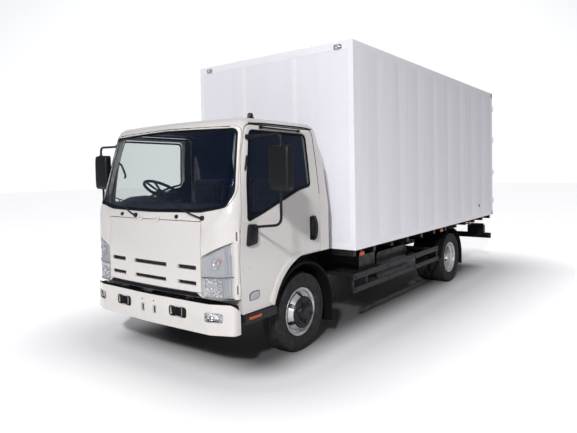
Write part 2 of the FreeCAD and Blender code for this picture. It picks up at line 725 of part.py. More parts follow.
def arch_band(centre_y, radius, x_from, x_to, angle_from, angle_to):
    """Part of a round mudguard; angles in degrees from rearwards, over the top to the front."""
    centre = V(x_from, centre_y, axle_height)
    ring = Part.makeCylinder(radius + guard_metal, x_to - x_from, centre, V(1, 0, 0), 360).cut(
        Part.makeCylinder(radius, x_to - x_from, centre, V(1, 0, 0), 360))
    wedge_points = [(centre_y, axle_height, 0)]
    steps = 6
    for i in range(steps + 1):
        angle = math.radians(angle_from + (angle_to - angle_from) * i / steps)
        wedge_points.append((
            centre_y + 2 * radius * math.cos(angle), axle_height + 2 * radius * math.sin(angle), 0))
    return ring.common(prism_x(wedge_points, x_from, x_to))


front_guard = arch_band(0, front_guard_radius, 700, 980, 4, 158)
front_lip = arch_band(0, front_guard_radius + guard_metal, 960, 980, 4, 158).fuse(
    arch_band(0, front_guard_radius + guard_metal * 2, 960, 980, 4, 158)).fuse(
    arch_band(0, front_guard_radius + guard_metal * 3, 960, 980, 4, 158))
front_flap = block((700, 980), (front_guard_radius, front_guard_radius + guard_metal),
                   (flap_bottom, axle_height + 40))


def guard_stay(centre_y, radius, offset, inner_x):
    """A bar from the rail's web to the mudguard's inner edge, offset from the axle along Y."""
    z = axle_height + math.sqrt(radius ** 2 - offset ** 2)
    y = centre_y + offset
    return block((web_x_outer, inner_x + 12), (y - 20, y + 20), (z - 22, z + 10))


front_stays = [guard_stay(0, front_guard_radius, offset, 700) for offset in (-430, 330)]
front_mudguard = front_guard.fuse([front_lip, front_flap, *front_stays])
rear_guard = arch_band(rear_y, rear_guard_radius, 620, 1085, 8, 172)
rear_flap = block((620, 1085), (rear_y + rear_guard_radius, rear_y + rear_guard_radius + guard_metal),
                  (flap_bottom + 40, axle_height + 80))
rear_stays = [guard_stay(rear_y, rear_guard_radius, offset, 620) for offset in (-330, 330)]
save("mudguards", *pair(front_mudguard), *pair(rear_guard.fuse([rear_flap, *rear_stays])))

guard_rails = [block((side_guard_x - 16, side_guard_x),
                     (side_guard_front, side_guard_rear), (low, low + height))
               for low, height in ((side_rail_low, side_rail_low_height),
                                 (side_rail_high, side_rail_high_height))]
guard_posts = [block((side_guard_x - 30, side_guard_x - 16), (y, y + side_guard_tube),
                     (side_rail_low, side_rail_high + side_rail_high_height))
               for y in (side_guard_front, side_guard_front + 300, side_guard_rear - side_guard_tube)]
guard_arms = [block((web_x_outer, side_guard_x - 16), (y, y + side_guard_tube),
                    (side_rail_high + 20, side_rail_high + 60))
              for y in (side_guard_front + 60, 1440, 2460, side_guard_rear - 190)]
save("side_guards", *pair(fused(*guard_rails, *guard_posts, *guard_arms)))


# --- rear underrun bar and tail lamps ---------------------------------------------------------
underrun_y = box_rear - underrun_depth
underrun = prism_x([(underrun_y, underrun_bottom, 14), (box_rear, underrun_bottom, 14),
                    (box_rear, underrun_bottom + underrun_height, 14),
                    (underrun_y, underrun_bottom + underrun_height, 14)],
                   -underrun_half_width, underrun_half_width)
lamp_bar = block((-lamp_bar_half_width, lamp_bar_half_width), (box_rear - 45, box_rear - 20),
                 (lamp_bar_bottom, lamp_bar_bottom + lamp_bar_height))
arms = pair(block((web_x_outer, web_x_outer + 12), (rail_rear - 260, box_rear - 20),
                  (underrun_bottom + 10, lamp_bar_bottom + lamp_bar_height)))
save("rear_underrun", fused(underrun, lamp_bar, *arms))
tail_lamp = block((tail_lamp_inner_x, tail_lamp_outer_x), (box_rear - 8 - tail_lamp_depth, box_rear - 8),
                  (tail_lamp_bottom, lamp_bar_bottom))
save("tail_lamps", *pair(tail_lamp))


# --- load box ---------------------------------------------------------------------------------
floor_top = box_bottom + box_floor
roof_under = box_top - box_wall
inner_half = box_half_width - box_wall
portal_y = box_rear - portal_depth
floor = block((-inner_half, inner_half), (box_front + box_wall, portal_y), (box_bottom, floor_top))
bearers = []
count = int((portal_y - box_front - 2 * bearer_width) / bearer_pitch)
pitch = (portal_y - box_front - bearer_width) / count
for i in range(count + 1):
    y = box_front + pitch * i
    bearers.append(block((-box_half_width + 30, box_half_width - 30),
                         (y, y + bearer_width), (rail_top + 70, box_bottom)))
runners = pair(block((web_x_outer - rail_flange, web_x_outer),
                     (box_front, box_rear - 90), (rail_top, rail_top + 70)))
save("box_floor", fused(floor, *bearers, *runners))
side_wall = block((inner_half, box_half_width), (box_front, portal_y), (box_bottom, roof_under))
save("box_sides", *pair(side_wall))
save("box_front_wall", block(
    (-inner_half, inner_half), (box_front, box_front + box_wall), (box_bottom, roof_under)))
save("box_roof", block((-box_half_width, box_half_width), (box_front, portal_y), (roof_under, box_top)))

door_opening_x = box_half_width - portal_post
door_opening_z = (floor_top + portal_sill - box_floor, box_top - portal_head)
portal = block((-box_half_width, box_half_width), (portal_y, box_rear), (box_bottom, box_top)).cut(
    block((-door_opening_x, door_opening_x), (portal_y, box_rear), door_opening_z))
rear_door_x = (rear_door_gap / 2, door_opening_x - rear_door_gap)
rear_door_z = (door_opening_z[0] + rear_door_gap, door_opening_z[1] - rear_door_gap)
rear_door = block(rear_door_x, (box_rear - rear_door_thickness, box_rear), rear_door_z)
for z in rear_hinge_heights:
    eye, eye_room, frame_half, frame_room = hinge(
        rear_hinge_x, rear_hinge_y, z, (box_half_width - 20, box_rear + 4), (rear_door_x[1] - 60, box_rear + 6))
    strap = block((rear_door_x[1] - 200, rear_door_x[1] - 30), (box_rear, box_rear + 8),
                  (z - hinge_eye_height / 2, z + hinge_eye_height / 2))
    rear_door = rear_door.fuse([
        eye.cut(block((0, 2000), (box_rear - 100, box_rear), (z - 100, z + 100))), strap])
    foot = block((box_half_width - 45, box_half_width), (box_rear, box_rear + 6), (z - 60, z - 37)).fuse(
        block((box_half_width - 45, box_half_width), (box_rear, box_rear + 6), (z + 37, z + 60)))
    portal = portal.fuse([
        frame_half.cut(block((0, 2000), (box_rear - 100, box_rear), (z - 100, z + 100))), foot,
                          mirrored(frame_half.cut(
                              block((0, 2000), (box_rear - 100, box_rear), (z - 100, z + 100)))),
                          mirrored(foot)])
save("box_rear_frame", portal)
middle_guides = [rear_door_z[0] + (rear_door_z[1] - rear_door_z[0]) * share for share in lock_guide_shares]
rods = []
for x in lock_rod_x:
    bar = rod(V(x, box_rear + 22, rear_door_z[0] + 12),
              V(x, box_rear + 22, rear_door_z[1] - 12), lock_rod_radius)
    guides = [block((x - 24, x + 24), (box_rear, box_rear + 22), (z - 20, z + 20))
              for z in (rear_door_z[0] + lock_guide_end, *middle_guides, rear_door_z[1] - lock_guide_end)]
    handle = block((x + 6, x + 260), (box_rear + 22, box_rear + 34), (lock_handle_z, lock_handle_z + 28))
    rods.append(fused(bar, *guides, handle))
for side, make in (("left", lambda s: s), ("right", mirrored)):
    save(f"rear_door_{side}", make(rear_door))
    save(f"rear_door_rods_{side}", *[make(bar) for bar in rods])


# --- cab: outer form and its layers -----------------------------------------------------------
def cab_form(inset):
    """The cab's outer form, every face moved in by inset."""
    rings = []
    for z, y_front, x_turn, y_turn, x_side, y_side, y_back in cab_sections:
        height = z - inset * (z - cab_bottom) / (cab_top - cab_bottom)
        front, turn_y, side_y, back = y_front + inset, y_turn + inset, y_side + inset, y_back - inset
        half, turn_x = x_side - inset, x_turn - inset * 0.6
        corner = V(turn_x, turn_y, height)
        shoulder = V(half, side_y, height)
        square = V(half, turn_y, height)
        fullness = 0.32 if z < low_corner_top else 0.42
        bulge = (corner + shoulder) * 0.5 + (square - (corner + shoulder) * 0.5) * fullness
        flip = lambda p: V(-p.x, p.y, p.z)
        rings.append(Part.Wire([
            Part.Arc(flip(corner), V(0, front, height), corner).toShape(),
            Part.Arc(corner, bulge, shoulder).toShape(),
            Part.makeLine(shoulder, V(half, back, height)),
            Part.makeLine(V(half, back, height), V(-half, back, height)),
            Part.makeLine(V(-half, back, height), flip(shoulder)),
            Part.Arc(flip(shoulder), flip(bulge), flip(corner)).toShape(),
        ]))
    return Part.makeLoft(rings, True, True)


cab_outer = cab_form(0)
cab_inner = cab_form(cab_wall)
shell = cab_outer.cut(cab_inner)
side_reach = cab_half_width + 30
# What lies under the cab's lower edge: the arch, and the bumper in front.
arch_cut = prism_x([
    (-math.sqrt(arch_radius ** 2 - (arch_centre_z - cab_bottom) ** 2) + arch_centre_y, cab_bottom - 60, 0),
    (800, cab_bottom - 60, 0), (800, arch_top, 0), (arch_centre_y, arch_top, 0)], -side_reach, side_reach)
arch_round = Part.makeCylinder(arch_radius, 2 * side_reach,
                               V(-side_reach, arch_centre_y, arch_centre_z), V(1, 0, 0))
chin_cut = block((-side_reach, side_reach), (front_end - 100, cab_chin_y), (cab_bottom - 60, cab_front_bottom))
shell = shell.cut([arch_cut, arch_round, chin_cut])


def grown(points, amount):
    """The same outline moved outwards by amount, corner by corner."""
    count = len(points)
    area = sum(points[i - 1][0] * points[i][1] - points[i][0] * points[i - 1][1] for i in range(count))
    turn = 1 if area > 0 else -1
    result = []
    for i, (a, b, radius) in enumerate(points):
        to_here = V(a - points[i - 1][0], b - points[i - 1][1], 0).normalize()
        onward = V(points[(i + 1) % count][0] - a, points[(i + 1) % count][1] - b, 0).normalize()
        out_one = V(to_here.y, -to_here.x, 0) * turn
        out_two = V(onward.y, -onward.x, 0) * turn
        middle = (out_one + out_two).normalize()
        step = amount / middle.dot(out_one)
        result.append((a + middle.x * step, b + middle.y * step, max(radius + amount, 0) if radius else 0))
    return result


door_inner_x = 700
seam = [(-889, cab_bottom - 80, 0)] + door_seam[1:-1] + [(288, cab_bottom - 80, 0)]
door_room = prism_x(grown(seam, door_gap / 2), door_inner_x, side_reach)
door_stock = prism_x(grown(seam, -door_gap / 2), door_inner_x, side_reach)
door_under = Part.makeCylinder(arch_radius + door_gap, 400,
                               V(door_inner_x, arch_centre_y, arch_centre_z), V(1, 0, 0)).fuse(
    block((door_inner_x, door_inner_x + 400), (arch_centre_y, 700), (cab_bottom - 60, arch_top + door_gap)))
window = prism_x(door_window, door_inner_x, side_reach)
door_left = shell.common(door_stock).cut([door_under, window])
door_glass = cab_form(glass_depth).cut(cab_form(glass_depth + glass_thickness)).common(window)

windscreen_full = windscreen_half + [(-x, z, r) for x, z, r in reversed(windscreen_half[1:-1])]
screen_room = prism_y(windscreen_full, front_end - 50, -600)
windscreen = cab_form(glass_depth).cut(cab_form(glass_depth + glass_thickness)).common(screen_room)
lamp_room = prism_y(grown(lamp_outline, lamp_gap), front_end - 50, lamp_rear_y + lamp_gap)
lamp_stock = prism_y(lamp_outline, front_end - 50, lamp_rear_y)
headlamp = cab_outer.cut(cab_form(lamp_depth)).common(lamp_stock).cut(chin_cut)
lamp_inner_x = lamp_outline[0][0]
lamp_tab_y = cab_sections[0][3] + lid_depth - 6
lamp_lean = (lamp_outline[1][0] - lamp_inner_x) / (lamp_outline[1][1] - lamp_outline[0][1])
lamp_tab_inner = lamp_inner_x - lamp_gap + running_gap + lamp_lean * (lamp_tab_z[1] - lamp_outline[0][1])
lamp_tab = block((lamp_tab_inner, lamp_inner_x + 12), (lamp_tab_y, lamp_tab_y + 9), lamp_tab_z)
headlamp = headlamp.fuse(lamp_tab)
lid_room = block((-lid_half_width - lid_gap, lid_half_width + lid_gap), (front_end - 50, -950),
                 (lid_bottom - lid_gap, lid_top + lid_gap))
lid_stock = block((-lid_half_width, lid_half_width), (front_end - 50, -950), (lid_bottom, lid_top))
lid_layer = cab_outer.cut(cab_form(lid_depth))
lid = lid_layer.common(lid_stock)
for x_from, x_to, z_from, z_to in lid_slots:
    slot = block((x_from, x_to), (front_end - 50, -950), (z_from, z_to))
    lid = lid.cut(pair(slot) if x_from > 0 else [block((-x_to, x_to), (front_end - 50, -950), (z_from, z_to))])
lid_axis_z = lid_top + lid_gap / 2


def along_lid_axis(x_from, x_to, radius):
    return rod(V(x_from, lid_hinge_y, lid_axis_z), V(x_to, lid_hinge_y, lid_axis_z), radius)


def lid_strap(x_from, x_to, z_to):
    """Plate from the lid's hinge line back to the skin."""
    low, high = sorted((lid_axis_z, z_to))
    return block((x_from, x_to), (lid_hinge_y - 3, lid_hinge_y + 3), (low, high)).fuse(
        block((x_from, x_to), (lid_hinge_y - 3, cab_sections[2][1] + 14),
              (*sorted((z_to, z_to + (8 if z_to > lid_axis_z else -8))),)))


lid_mid_from = lid_hinge_x[0] + 14
lid_mid_to = lid_hinge_x[1] - 14
lid_eye = along_lid_axis(lid_mid_from, lid_mid_to, lid_eye_radius).fuse(
    lid_strap(lid_mid_from, lid_mid_to, lid_axis_z - 9)).cut(
    along_lid_axis(lid_mid_from, lid_mid_to, lid_pin_radius + running_gap))
lid = lid.fuse(pair(lid_eye))
lid_pins = [along_lid_axis(*lid_hinge_x, lid_pin_radius)]
for x_from, x_to in ((lid_hinge_x[0], lid_mid_from - 1), (lid_mid_to + 1, lid_hinge_x[1])):
    lid_pins += [along_lid_axis(x_from, x_to, lid_eye_radius), lid_strap(x_from, x_to, lid_axis_z + 9)]
lid_pins = fused(*lid_pins)
lid_recess = cab_outer.cut(cab_form(lid_depth + 5)).common(lid_room)

pillar_feet = block((-side_reach, side_reach), (front_end - 100, pillar_foot_y),
                    (cab_bottom - 60, cab_front_bottom))
shell = shell.cut([door_room, mirrored(door_room), screen_room, *pair(lamp_room), lid_recess, pillar_feet])
for z in door_hinge_heights:
    eye, eye_room, frame_half, frame_room = hinge(
        door_hinge_x, door_hinge_y, z,
        (door_hinge_x - 10, door_hinge_y - 26), (door_hinge_x - 14, door_hinge_y + 36))
    door_left = door_left.cut(frame_room).fuse(eye)
    shell = shell.cut(pair(eye_room)).fuse(pair(frame_half))
shell = shell.fuse(pair(lid_pins))
for side, make in (("left", lambda s: s), ("right", mirrored)):
    save(f"door_{side}", make(door_left))
    save(f"door_glass_{side}", make(door_glass))
save("windscreen", windscreen)
save("headlamps", *pair(headlamp))
save("front_lid", lid)

roof_cut = block((-side_reach, side_reach), (-900, 700), (roof_seam, cab_top + 50))
back_cut = block((-side_reach, side_reach), (back_seam_y - 140, 700), (cab_bottom, roof_seam))
save("cab_roof", shell.common(roof_cut))
body = shell.cut(roof_cut)
back_stock = block((-side_reach, side_reach), (back_seam_y - 90, 700), (arch_top, roof_seam))
save("cab_back_wall", body.common(back_stock))
save("cab_front", body.cut(back_stock))


# --- cab floor, dashboard and seats -----------------------------------------------------------
cabin_half = cab_half_width - cab_wall - trim_gap
floor_wall = cab_wall
back_inside = cab_sections[0][6] - cab_wall
toe_front = cab_sections[0][1] + cab_wall
cab_floor_side = [
    (cab_chin_y + 10, footwell_floor - floor_wall, 0), (riser_y, footwell_floor - floor_wall, 0),
    (riser_y, seat_deck - floor_wall, 0), (back_inside, seat_deck - floor_wall, 0),
    (back_inside, seat_deck, 0), (riser_y - floor_wall, seat_deck, 0),
    (riser_y - floor_wall, footwell_floor, 0),
    (cab_chin_y + 10 + floor_wall, footwell_floor, 0),
    (cab_chin_y + 10 + floor_wall, cab_front_bottom + floor_wall, 0),
    (cab_chin_y + 10, cab_front_bottom + floor_wall, 0),
]


def front_plan(turn_x, turn_y, middle_y, side_y, z):
    """Plan of an inner fitting: arc in front, corners cut back to the sides, straight rear."""
    arc = Part.Arc(V(-turn_x, turn_y, z), V(0, middle_y, z), V(turn_x, turn_y, z)).toShape()
    corners = [(turn_x, turn_y), (cabin_half, side_y), (cabin_half, back_inside), (-cabin_half, back_inside),
               (-cabin_half, side_y), (-turn_x, turn_y)]
    lines = [Part.makeLine(V(*corners[i], z), V(*corners[i + 1], z)) for i in range(len(corners) - 1)
             if corners[i] != corners[i + 1]]
    return Part.Face(Part.Wire([arc, *lines])).extrude(V(0, 0, cab_top - z))


toe_half = 640              # the raised toe board lies between the headlamps
toe_bow = (cab_sections[0][3] - cab_sections[0][1]) * (toe_half / cab_sections[0][2]) ** 2
toe_arc = Part.Arc(V(-toe_half, toe_front + toe_bow + 4, 0), V(0, toe_front + running_gap, 0),
                   V(toe_half, toe_front + toe_bow + 4, 0)).toShape()
toe_corners = [V(toe_half, toe_front + toe_bow + 4, 0),
               V(toe_half, cab_chin_y + 11, 0), V(-toe_half, cab_chin_y + 11, 0),
               V(-toe_half, toe_front + toe_bow + 4, 0)]
toe_face = Part.Face(Part.Wire([toe_arc,
        *[Part.makeLine(toe_corners[i], toe_corners[i + 1]) for i in range(3)]]))
toe = toe_face.extrude(V(0, 0, floor_wall)).translated(V(0, 0, cab_front_bottom))
arm_side = [
    (tilt_pivot_y - 20, tilt_pivot_z + 30, 0), (tilt_pivot_y + 24, tilt_pivot_z - 26, 0),
    (tilt_pivot_y + 215, footwell_floor - floor_wall, 0), (cab_chin_y + 16, footwell_floor - floor_wall, 0)]
tilt_arm = fused(prism_x(arm_side, *tilt_arm_x), rod(V(tilt_arm_x[0], tilt_pivot_y, tilt_pivot_z),
                                                   V(tilt_arm_x[1], tilt_pivot_y, tilt_pivot_z),
                                                  tilt_eye_radius))
tilt_arm = tilt_arm.cut(rod(V(0, tilt_pivot_y, tilt_pivot_z), V(500, tilt_pivot_y, tilt_pivot_z),
                            tilt_tube_radius + running_gap))
cab_floor = fused(prism_x(cab_floor_side, -cabin_half, cabin_half), toe, *pair(tilt_arm))
seat_bases = [block((x_from, x_to), (cushion_front_y + 40, cushion_rear_y),
                    (seat_deck, seat_deck + seat_base_height))
              for x_from, x_to in seat_places]
save("cab_floor", cab_floor.fuse(seat_bases))

cushions = []
for x_from, x_to in seat_places:
    base_z = seat_deck + seat_base_height
    cushions.append(prism_x([
        (cushion_front_y, base_z, 30), (cushion_rear_y, base_z, 30),
        (cushion_rear_y, base_z + cushion_height, 30),
        (cushion_front_y, base_z + cushion_height + 20, 45)], x_from + 5, x_to - 5))
    back_y = cushion_rear_y + running_gap
    cushions.append(prism_x([
        (back_y, base_z + 10, 30), (back_y + backrest_thickness, base_z + 10, 30),
        (back_y + backrest_thickness + backrest_lean, base_z + backrest_height, 40),
        (back_y + backrest_lean + 20, base_z + backrest_height, 40),
        (back_y, base_z + cushion_height + 20, 60)], x_from + 15, x_to - 15))
save("seat_cushions", *cushions)

dash_front = cab_sections[0][1] + cab_wall + 22
dashboard = prism_x([
    (dash_front, dash_bottom, 0), (dash_rear_y - 40, dash_bottom, 40), (dash_rear_y, dash_bottom + 160, 60),
    (dash_rear_y + 10, dash_top - 60, 50), (dash_rear_y - 50, dash_top, 60), (-985, dash_top - 60, 30),
    (dash_front, dash_top - 180, 0)], -cabin_half + trim_gap, cabin_half - trim_gap).common(
        front_plan(790, -935, dash_front, -820, dash_bottom - 10))
# Steering wheel on its column; the column's shroud belongs to the dashboard's body.
lean = math.radians(column_lean)
column_axis = V(0, math.sin(lean), math.cos(lean))
column_foot = wheel_centre - column_axis * 560
wheel_ring = Part.makeTorus(wheel_rim_radius, wheel_rim_tube, wheel_centre, column_axis)
wheel_hub = Part.makeCylinder(wheel_hub_radius, 40, wheel_centre - column_axis * 50, column_axis)
across = V(1, 0, 0)
forward = column_axis.cross(across)
spokes = []
for angle in (0, 180, 250, 290):
    direction = across * math.cos(math.radians(angle)) + forward * math.sin(math.radians(angle))
    spokes.append(rod(wheel_centre - column_axis * 30, wheel_centre + direction * wheel_rim_radius, 11))
shaft_stub = Part.makeCylinder(14, 70, wheel_centre - column_axis * 115, column_axis)
save("steering_wheel", fused(wheel_ring, wheel_hub, *spokes, shaft_stub))
shroud = Part.makeCylinder(45, 440, wheel_centre - column_axis * 500, column_axis).cut(
    Part.makeCylinder(14 + running_gap, 60, wheel_centre - column_axis * 116, column_axis))
save("steering_column", shroud)
save("dashboard", dashboard.cut(shroud))


# --- mirrors ----------------------------------------------------------------------------------
half_size = mirror_size * 0.5
mirror_plan = [
    (mirror_centre.x - half_size.x, mirror_centre.y - half_size.y, 40),
    (mirror_centre.x + half_size.x, mirror_centre.y - half_size.y, 40),
    (mirror_centre.x + half_size.x, mirror_centre.y + half_size.y, 12),
    (mirror_centre.x - half_size.x, mirror_centre.y + half_size.y, 12)]
mirror_head = prism_z(mirror_plan, mirror_centre.z - half_size.z, mirror_centre.z + half_size.z)
low_bend = V(mirror_centre.x, mirror_centre.y, mirror_foot.z + 30)
high_bend = V(mirror_centre.x + 16, mirror_centre.y - 6, mirror_bracket.z + 5)
lower_arm = bent_tube([mirror_foot, low_bend, V(low_bend.x, low_bend.y, mirror_centre.z - half_size.z + 20)],
                      mirror_tube_radius)
upper_arm = bent_tube([mirror_bracket, high_bend,
                       V(high_bend.x, high_bend.y, mirror_centre.z + half_size.z - 20)],
                      mirror_tube_radius)
foot_plate = prism_x([(mirror_foot.y - 70, mirror_foot.z - 170, 30),
                      (mirror_foot.y + 60, mirror_foot.z - 150, 30),
                      (mirror_foot.y + 70, mirror_foot.z + 30, 25),
                      (mirror_foot.y - 50, mirror_foot.z + 30, 25)],
                     cab_half_width - 1, cab_half_width + 24)
upper_plate = block((mirror_bracket.x - 20, mirror_bracket.x + 34),
                    (mirror_bracket.y - 16, mirror_bracket.y + 60),
                    (mirror_bracket.z - 24, mirror_bracket.z + 24))
mirror = fused(mirror_head, lower_arm, upper_arm, foot_plate, upper_plate).cut(cab_outer)
mirror = max(mirror.Solids, key=lambda solid: solid.Volume)
for side, make in (("left", lambda s: s), ("right", mirrored)):
    save(f"mirror_{side}", make(mirror))
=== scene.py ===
"""Box truck with a forward-control cab, dressed over its CAD frame."""
import math

import bmesh
import bpy
from mathutils import Matrix, Vector
from mathutils.bvhtree import BVHTree


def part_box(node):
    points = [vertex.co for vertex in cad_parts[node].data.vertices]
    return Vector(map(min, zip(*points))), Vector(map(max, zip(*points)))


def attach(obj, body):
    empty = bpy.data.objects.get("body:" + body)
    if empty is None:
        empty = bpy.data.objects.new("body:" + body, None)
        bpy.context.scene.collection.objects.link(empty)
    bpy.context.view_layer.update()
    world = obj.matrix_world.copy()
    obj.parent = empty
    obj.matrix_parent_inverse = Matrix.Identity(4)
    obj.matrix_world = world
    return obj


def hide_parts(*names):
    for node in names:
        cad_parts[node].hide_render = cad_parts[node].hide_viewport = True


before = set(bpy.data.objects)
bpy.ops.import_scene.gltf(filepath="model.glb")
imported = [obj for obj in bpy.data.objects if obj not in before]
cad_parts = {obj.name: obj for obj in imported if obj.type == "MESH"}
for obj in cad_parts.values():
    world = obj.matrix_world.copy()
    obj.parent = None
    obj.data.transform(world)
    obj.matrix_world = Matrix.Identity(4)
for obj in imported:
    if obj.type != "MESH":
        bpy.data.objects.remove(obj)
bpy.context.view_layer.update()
# the truck's sides, each with its sign along x
sides = (("left", 1), ("right", -1))

# ---------------------------------------------------------------- camera, floor and light
# A plain pale studio: one floor that runs out of sight, a sky that is white behind the truck,
# one small strong lamp that stands for the sun, and two soft ones.
# The camera stands off the truck's left front corner, at a standing person's eye height.
front_axle_y = -2.345


def at(x, y, z):
    """A point in metres from millimetres: x to the truck's left, y back from the front axle, z up."""
    return Vector((x / 1000, y / 1000 + front_axle_y, z / 1000))


def linear(colour):
    """The linear colour of an sRGB hex value."""
    channels = [int(colour[i : i + 2], 16) / 255 for i in (1, 3, 5)]
    return [c / 12.92 if c <= 0.04045 else ((c + 0.055) / 1.055) ** 2.4 for c in channels] + [1.0]


def add(tree, kind, sockets=None, into=None, **settings):
    """Adds one node with its settings and links: a node among the values stands for its first live output."""
    node = tree.nodes.new(kind)
    for name, value in settings.items():
        setattr(node, name, value)
    for name, value in (sockets or {}).items():
        if isinstance(value, bpy.types.Node):
            value = next(socket for socket in value.outputs if socket.enabled)
        if isinstance(value, bpy.types.NodeSocket):
            tree.links.new(value, node.inputs[name])
        elif isinstance(value, str) and value.startswith("#"):
            node.inputs[name].default_value = linear(value)
        else:
            node.inputs[name].default_value = value
    if into is not None:
        tree.links.new(next(socket for socket in node.outputs if socket.enabled), into)
    return node


def finish(name, colour, roughness, **shader_values):
    """A material round one Principled shader: returns it, its tree, the shader and its Object coordinates."""
    material = bpy.data.materials.new(name)
    material.use_nodes = True
    material.diffuse_color = linear(colour)
    tree = material.node_tree
    tree.nodes.clear()
    shader = add(tree, "ShaderNodeBsdfPrincipled", {"Base Color": colour, "Roughness": roughness})
    for socket, value in shader_values.items():
        shader.inputs[socket.replace("_", " ")].default_value = value
    add(tree, "ShaderNodeOutputMaterial", {"Surface": shader})
    place = add(tree, "ShaderNodeTexCoord").outputs["Object"]
    return material, tree, shader, place


studio_floor, tree, shader, place = finish("studio_floor", "#FBFBFC", 0.75)
grain = add(tree, "ShaderNodeTexNoise", {"Vector": place, "Scale": 3.0, "Detail": 3.0})
tone = add(tree, "ShaderNodeMix", {0: grain, 6: "#F9F9FA", 7: "#FDFDFE"}, data_type="RGBA")
# the floor is white around the truck, with a painted shadow beneath it, and dark behind and beside the camera;
# reach is how far a spot lies from the middle of the truck's plan, 1.5 by 5.5 metres of it
folded = add(tree, "ShaderNodeVectorMath", {0: place}, operation="ABSOLUTE")
reach = add(tree, "ShaderNodeVectorMath", {0: folded, 1: (0.75, 2.75, 0.0)}, operation="SUBTRACT")
reach = add(tree, "ShaderNodeVectorMath", {0: reach, 1: (0.0, 0.0, 0.0)}, operation="MAXIMUM")
reach = add(tree, "ShaderNodeVectorMath", {0: reach}, operation="LENGTH")
soft = add(tree, "ShaderNodeMapRange", {"Value": reach, "From Max": 0.6}, interpolation_type="SMOOTHSTEP")
painted_shadow = add(tree, "ShaderNodeMix", {0: soft, 6: "#626264", 7: tone}, data_type="RGBA")
along = add(tree, "ShaderNodeSeparateXYZ", {0: place})
near = add(tree, "ShaderNodeMapRange", {"Value": along.outputs["Y"], "From Min": -8.5, "From Max": -5.2})
aside = add(tree, "ShaderNodeMapRange", {"Value": along.outputs["X"], "From Min": 5.8, "From Max": 4.2})
near = add(tree, "ShaderNodeMath", {0: near, 1: aside}, operation="MULTIPLY")
add(tree, "ShaderNodeMix", {0: near, 6: "#8E8E90", 7: painted_shadow}, into=shader.inputs["Base Color"], data_type="RGBA")
# painted light: away from the truck the floor glows, more the further it lies, fading into the white sky
lift = add(tree, "ShaderNodeMapRange", {"Value": reach, "From Min": 0.7, "From Max": 2.4, "To Max": 0.6})
add(tree, "ShaderNodeMath", {0: lift, 1: near}, into=shader.inputs["Emission Strength"], operation="MULTIPLY")
shader.inputs["Emission Color"].default_value = linear("#FFFFFF")
floor_mesh = bpy.data.meshes.new("studio_floor")
floor_reach = 60.0
corners = [(x * floor_reach, y * floor_reach, 0) for x, y in ((-1, -1), (1, -1), (1, 1), (-1, 1))]
floor_mesh.from_pydata(corners, [], [(0, 1, 2, 3)])
floor_mesh.materials.append(studio_floor)
floor = bpy.data.objects.new("studio_floor", floor_mesh)
bpy.context.scene.collection.objects.link(floor)

camera_place = Vector((3.903, -6.340, 1.761))
camera_yaw, camera_drop, camera_roll = (math.radians(a) for a in (36.36, 1.87, -1.06))
level = Vector((math.cos(camera_yaw), math.sin(camera_yaw), 0))
ahead = Vector((-level.y, level.x, 0)) * math.cos(camera_drop) - Vector((0, 0, math.sin(camera_drop)))
upward = level.cross(ahead)
across = level * math.cos(camera_roll) + upward * math.sin(camera_roll)
upright = upward * math.cos(camera_roll) - level * math.sin(camera_roll)
lens = bpy.data.cameras.new("camera")
lens.lens, lens.sensor_width = 31.53, 36.0
lens.shift_x, lens.shift_y = -0.0224, -0.0472
lens.clip_start, lens.clip_end = 0.1, 200
camera = bpy.data.objects.new("camera", lens)
camera.matrix_world = Matrix([[across[i], upright[i], -ahead[i], camera_place[i]] for i in range(3)] + [[0, 0, 0, 1]])
bpy.context.scene.collection.objects.link(camera)
bpy.context.scene.camera = camera

sky = bpy.data.worlds.new("studio_sky")
sky.use_nodes = True
tent = sky.node_tree
background = tent.nodes["Background"]
background.inputs["Color"].default_value = linear("#FAFBFF")
# the sky is brightest where the camera looks, and dim behind it
facing_away = (-0.58, 0.78, -0.22)
around = add(tent, "ShaderNodeTexCoord").outputs["Generated"]
toward = add(tent, "ShaderNodeVectorMath", {0: around, 1: facing_away}, operation="DOT_PRODUCT")
add(tent, "ShaderNodeMapRange", {"Value": toward, "From Min": 0.45, "From Max": 0.80, "To Min": 0.28, "To Max": 1.06},
    into=background.inputs["Strength"])
bpy.context.scene.world = sky
bpy.context.scene.view_settings.view_transform = "Standard"
for name, spot, aim, width, power in (
    ("sun_lamp", (6.2, -12.9, 7.9), (0, -2.0, 1.6), 0.9, 1560),
    ("side_lamp", (12.0, -4.0, 4.0), (0, -1.5, 0.9), 6.0, 12),
    ("top_lamp", (-2.0, 4.0, 12.0), (0, 0, 1.0), 9.0, 12),
):
    lamp = bpy.data.lights.new(name, "AREA")
    lamp.size, lamp.energy = width, power
    lamp_object = bpy.data.objects.new(name, lamp)
    lamp_object.location = spot
    lamp_object.rotation_euler = (Vector(aim) - Vector(spot)).to_track_quat("-Z", "Y").to_euler()
    bpy.context.scene.collection.objects.link(lamp_object)

# ---------------------------------------------------------------- cab shell
# Pressed steel panels, welded and sprayed in warm white two-pack enamel. The shell carries
# the windscreen, the lamps and the hinged lid. Its bends are rolled, so they catch soft light.


def lay(bm, name, material, body, replaces=(), smooth=True, recalc=True):
    """Turns a bmesh in metres into a piece that rides on a body and stands for the named CAD nodes."""
    if recalc:
        bmesh.ops.recalc_face_normals(bm, faces=bm.faces)
    mesh = bpy.data.meshes.new(name)
    bm.to_mesh(mesh)
    bm.free()
    mesh.materials.append(material)
    for face in mesh.polygons:
        face.use_smooth = smooth
    if smooth:
        mesh.set_sharp_from_angle(angle=math.radians(38))
    piece = bpy.data.objects.new(name, mesh)
    bpy.context.scene.collection.objects.link(piece)
    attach(piece, body)
    if replaces:
        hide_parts(*replaces)
    return piece


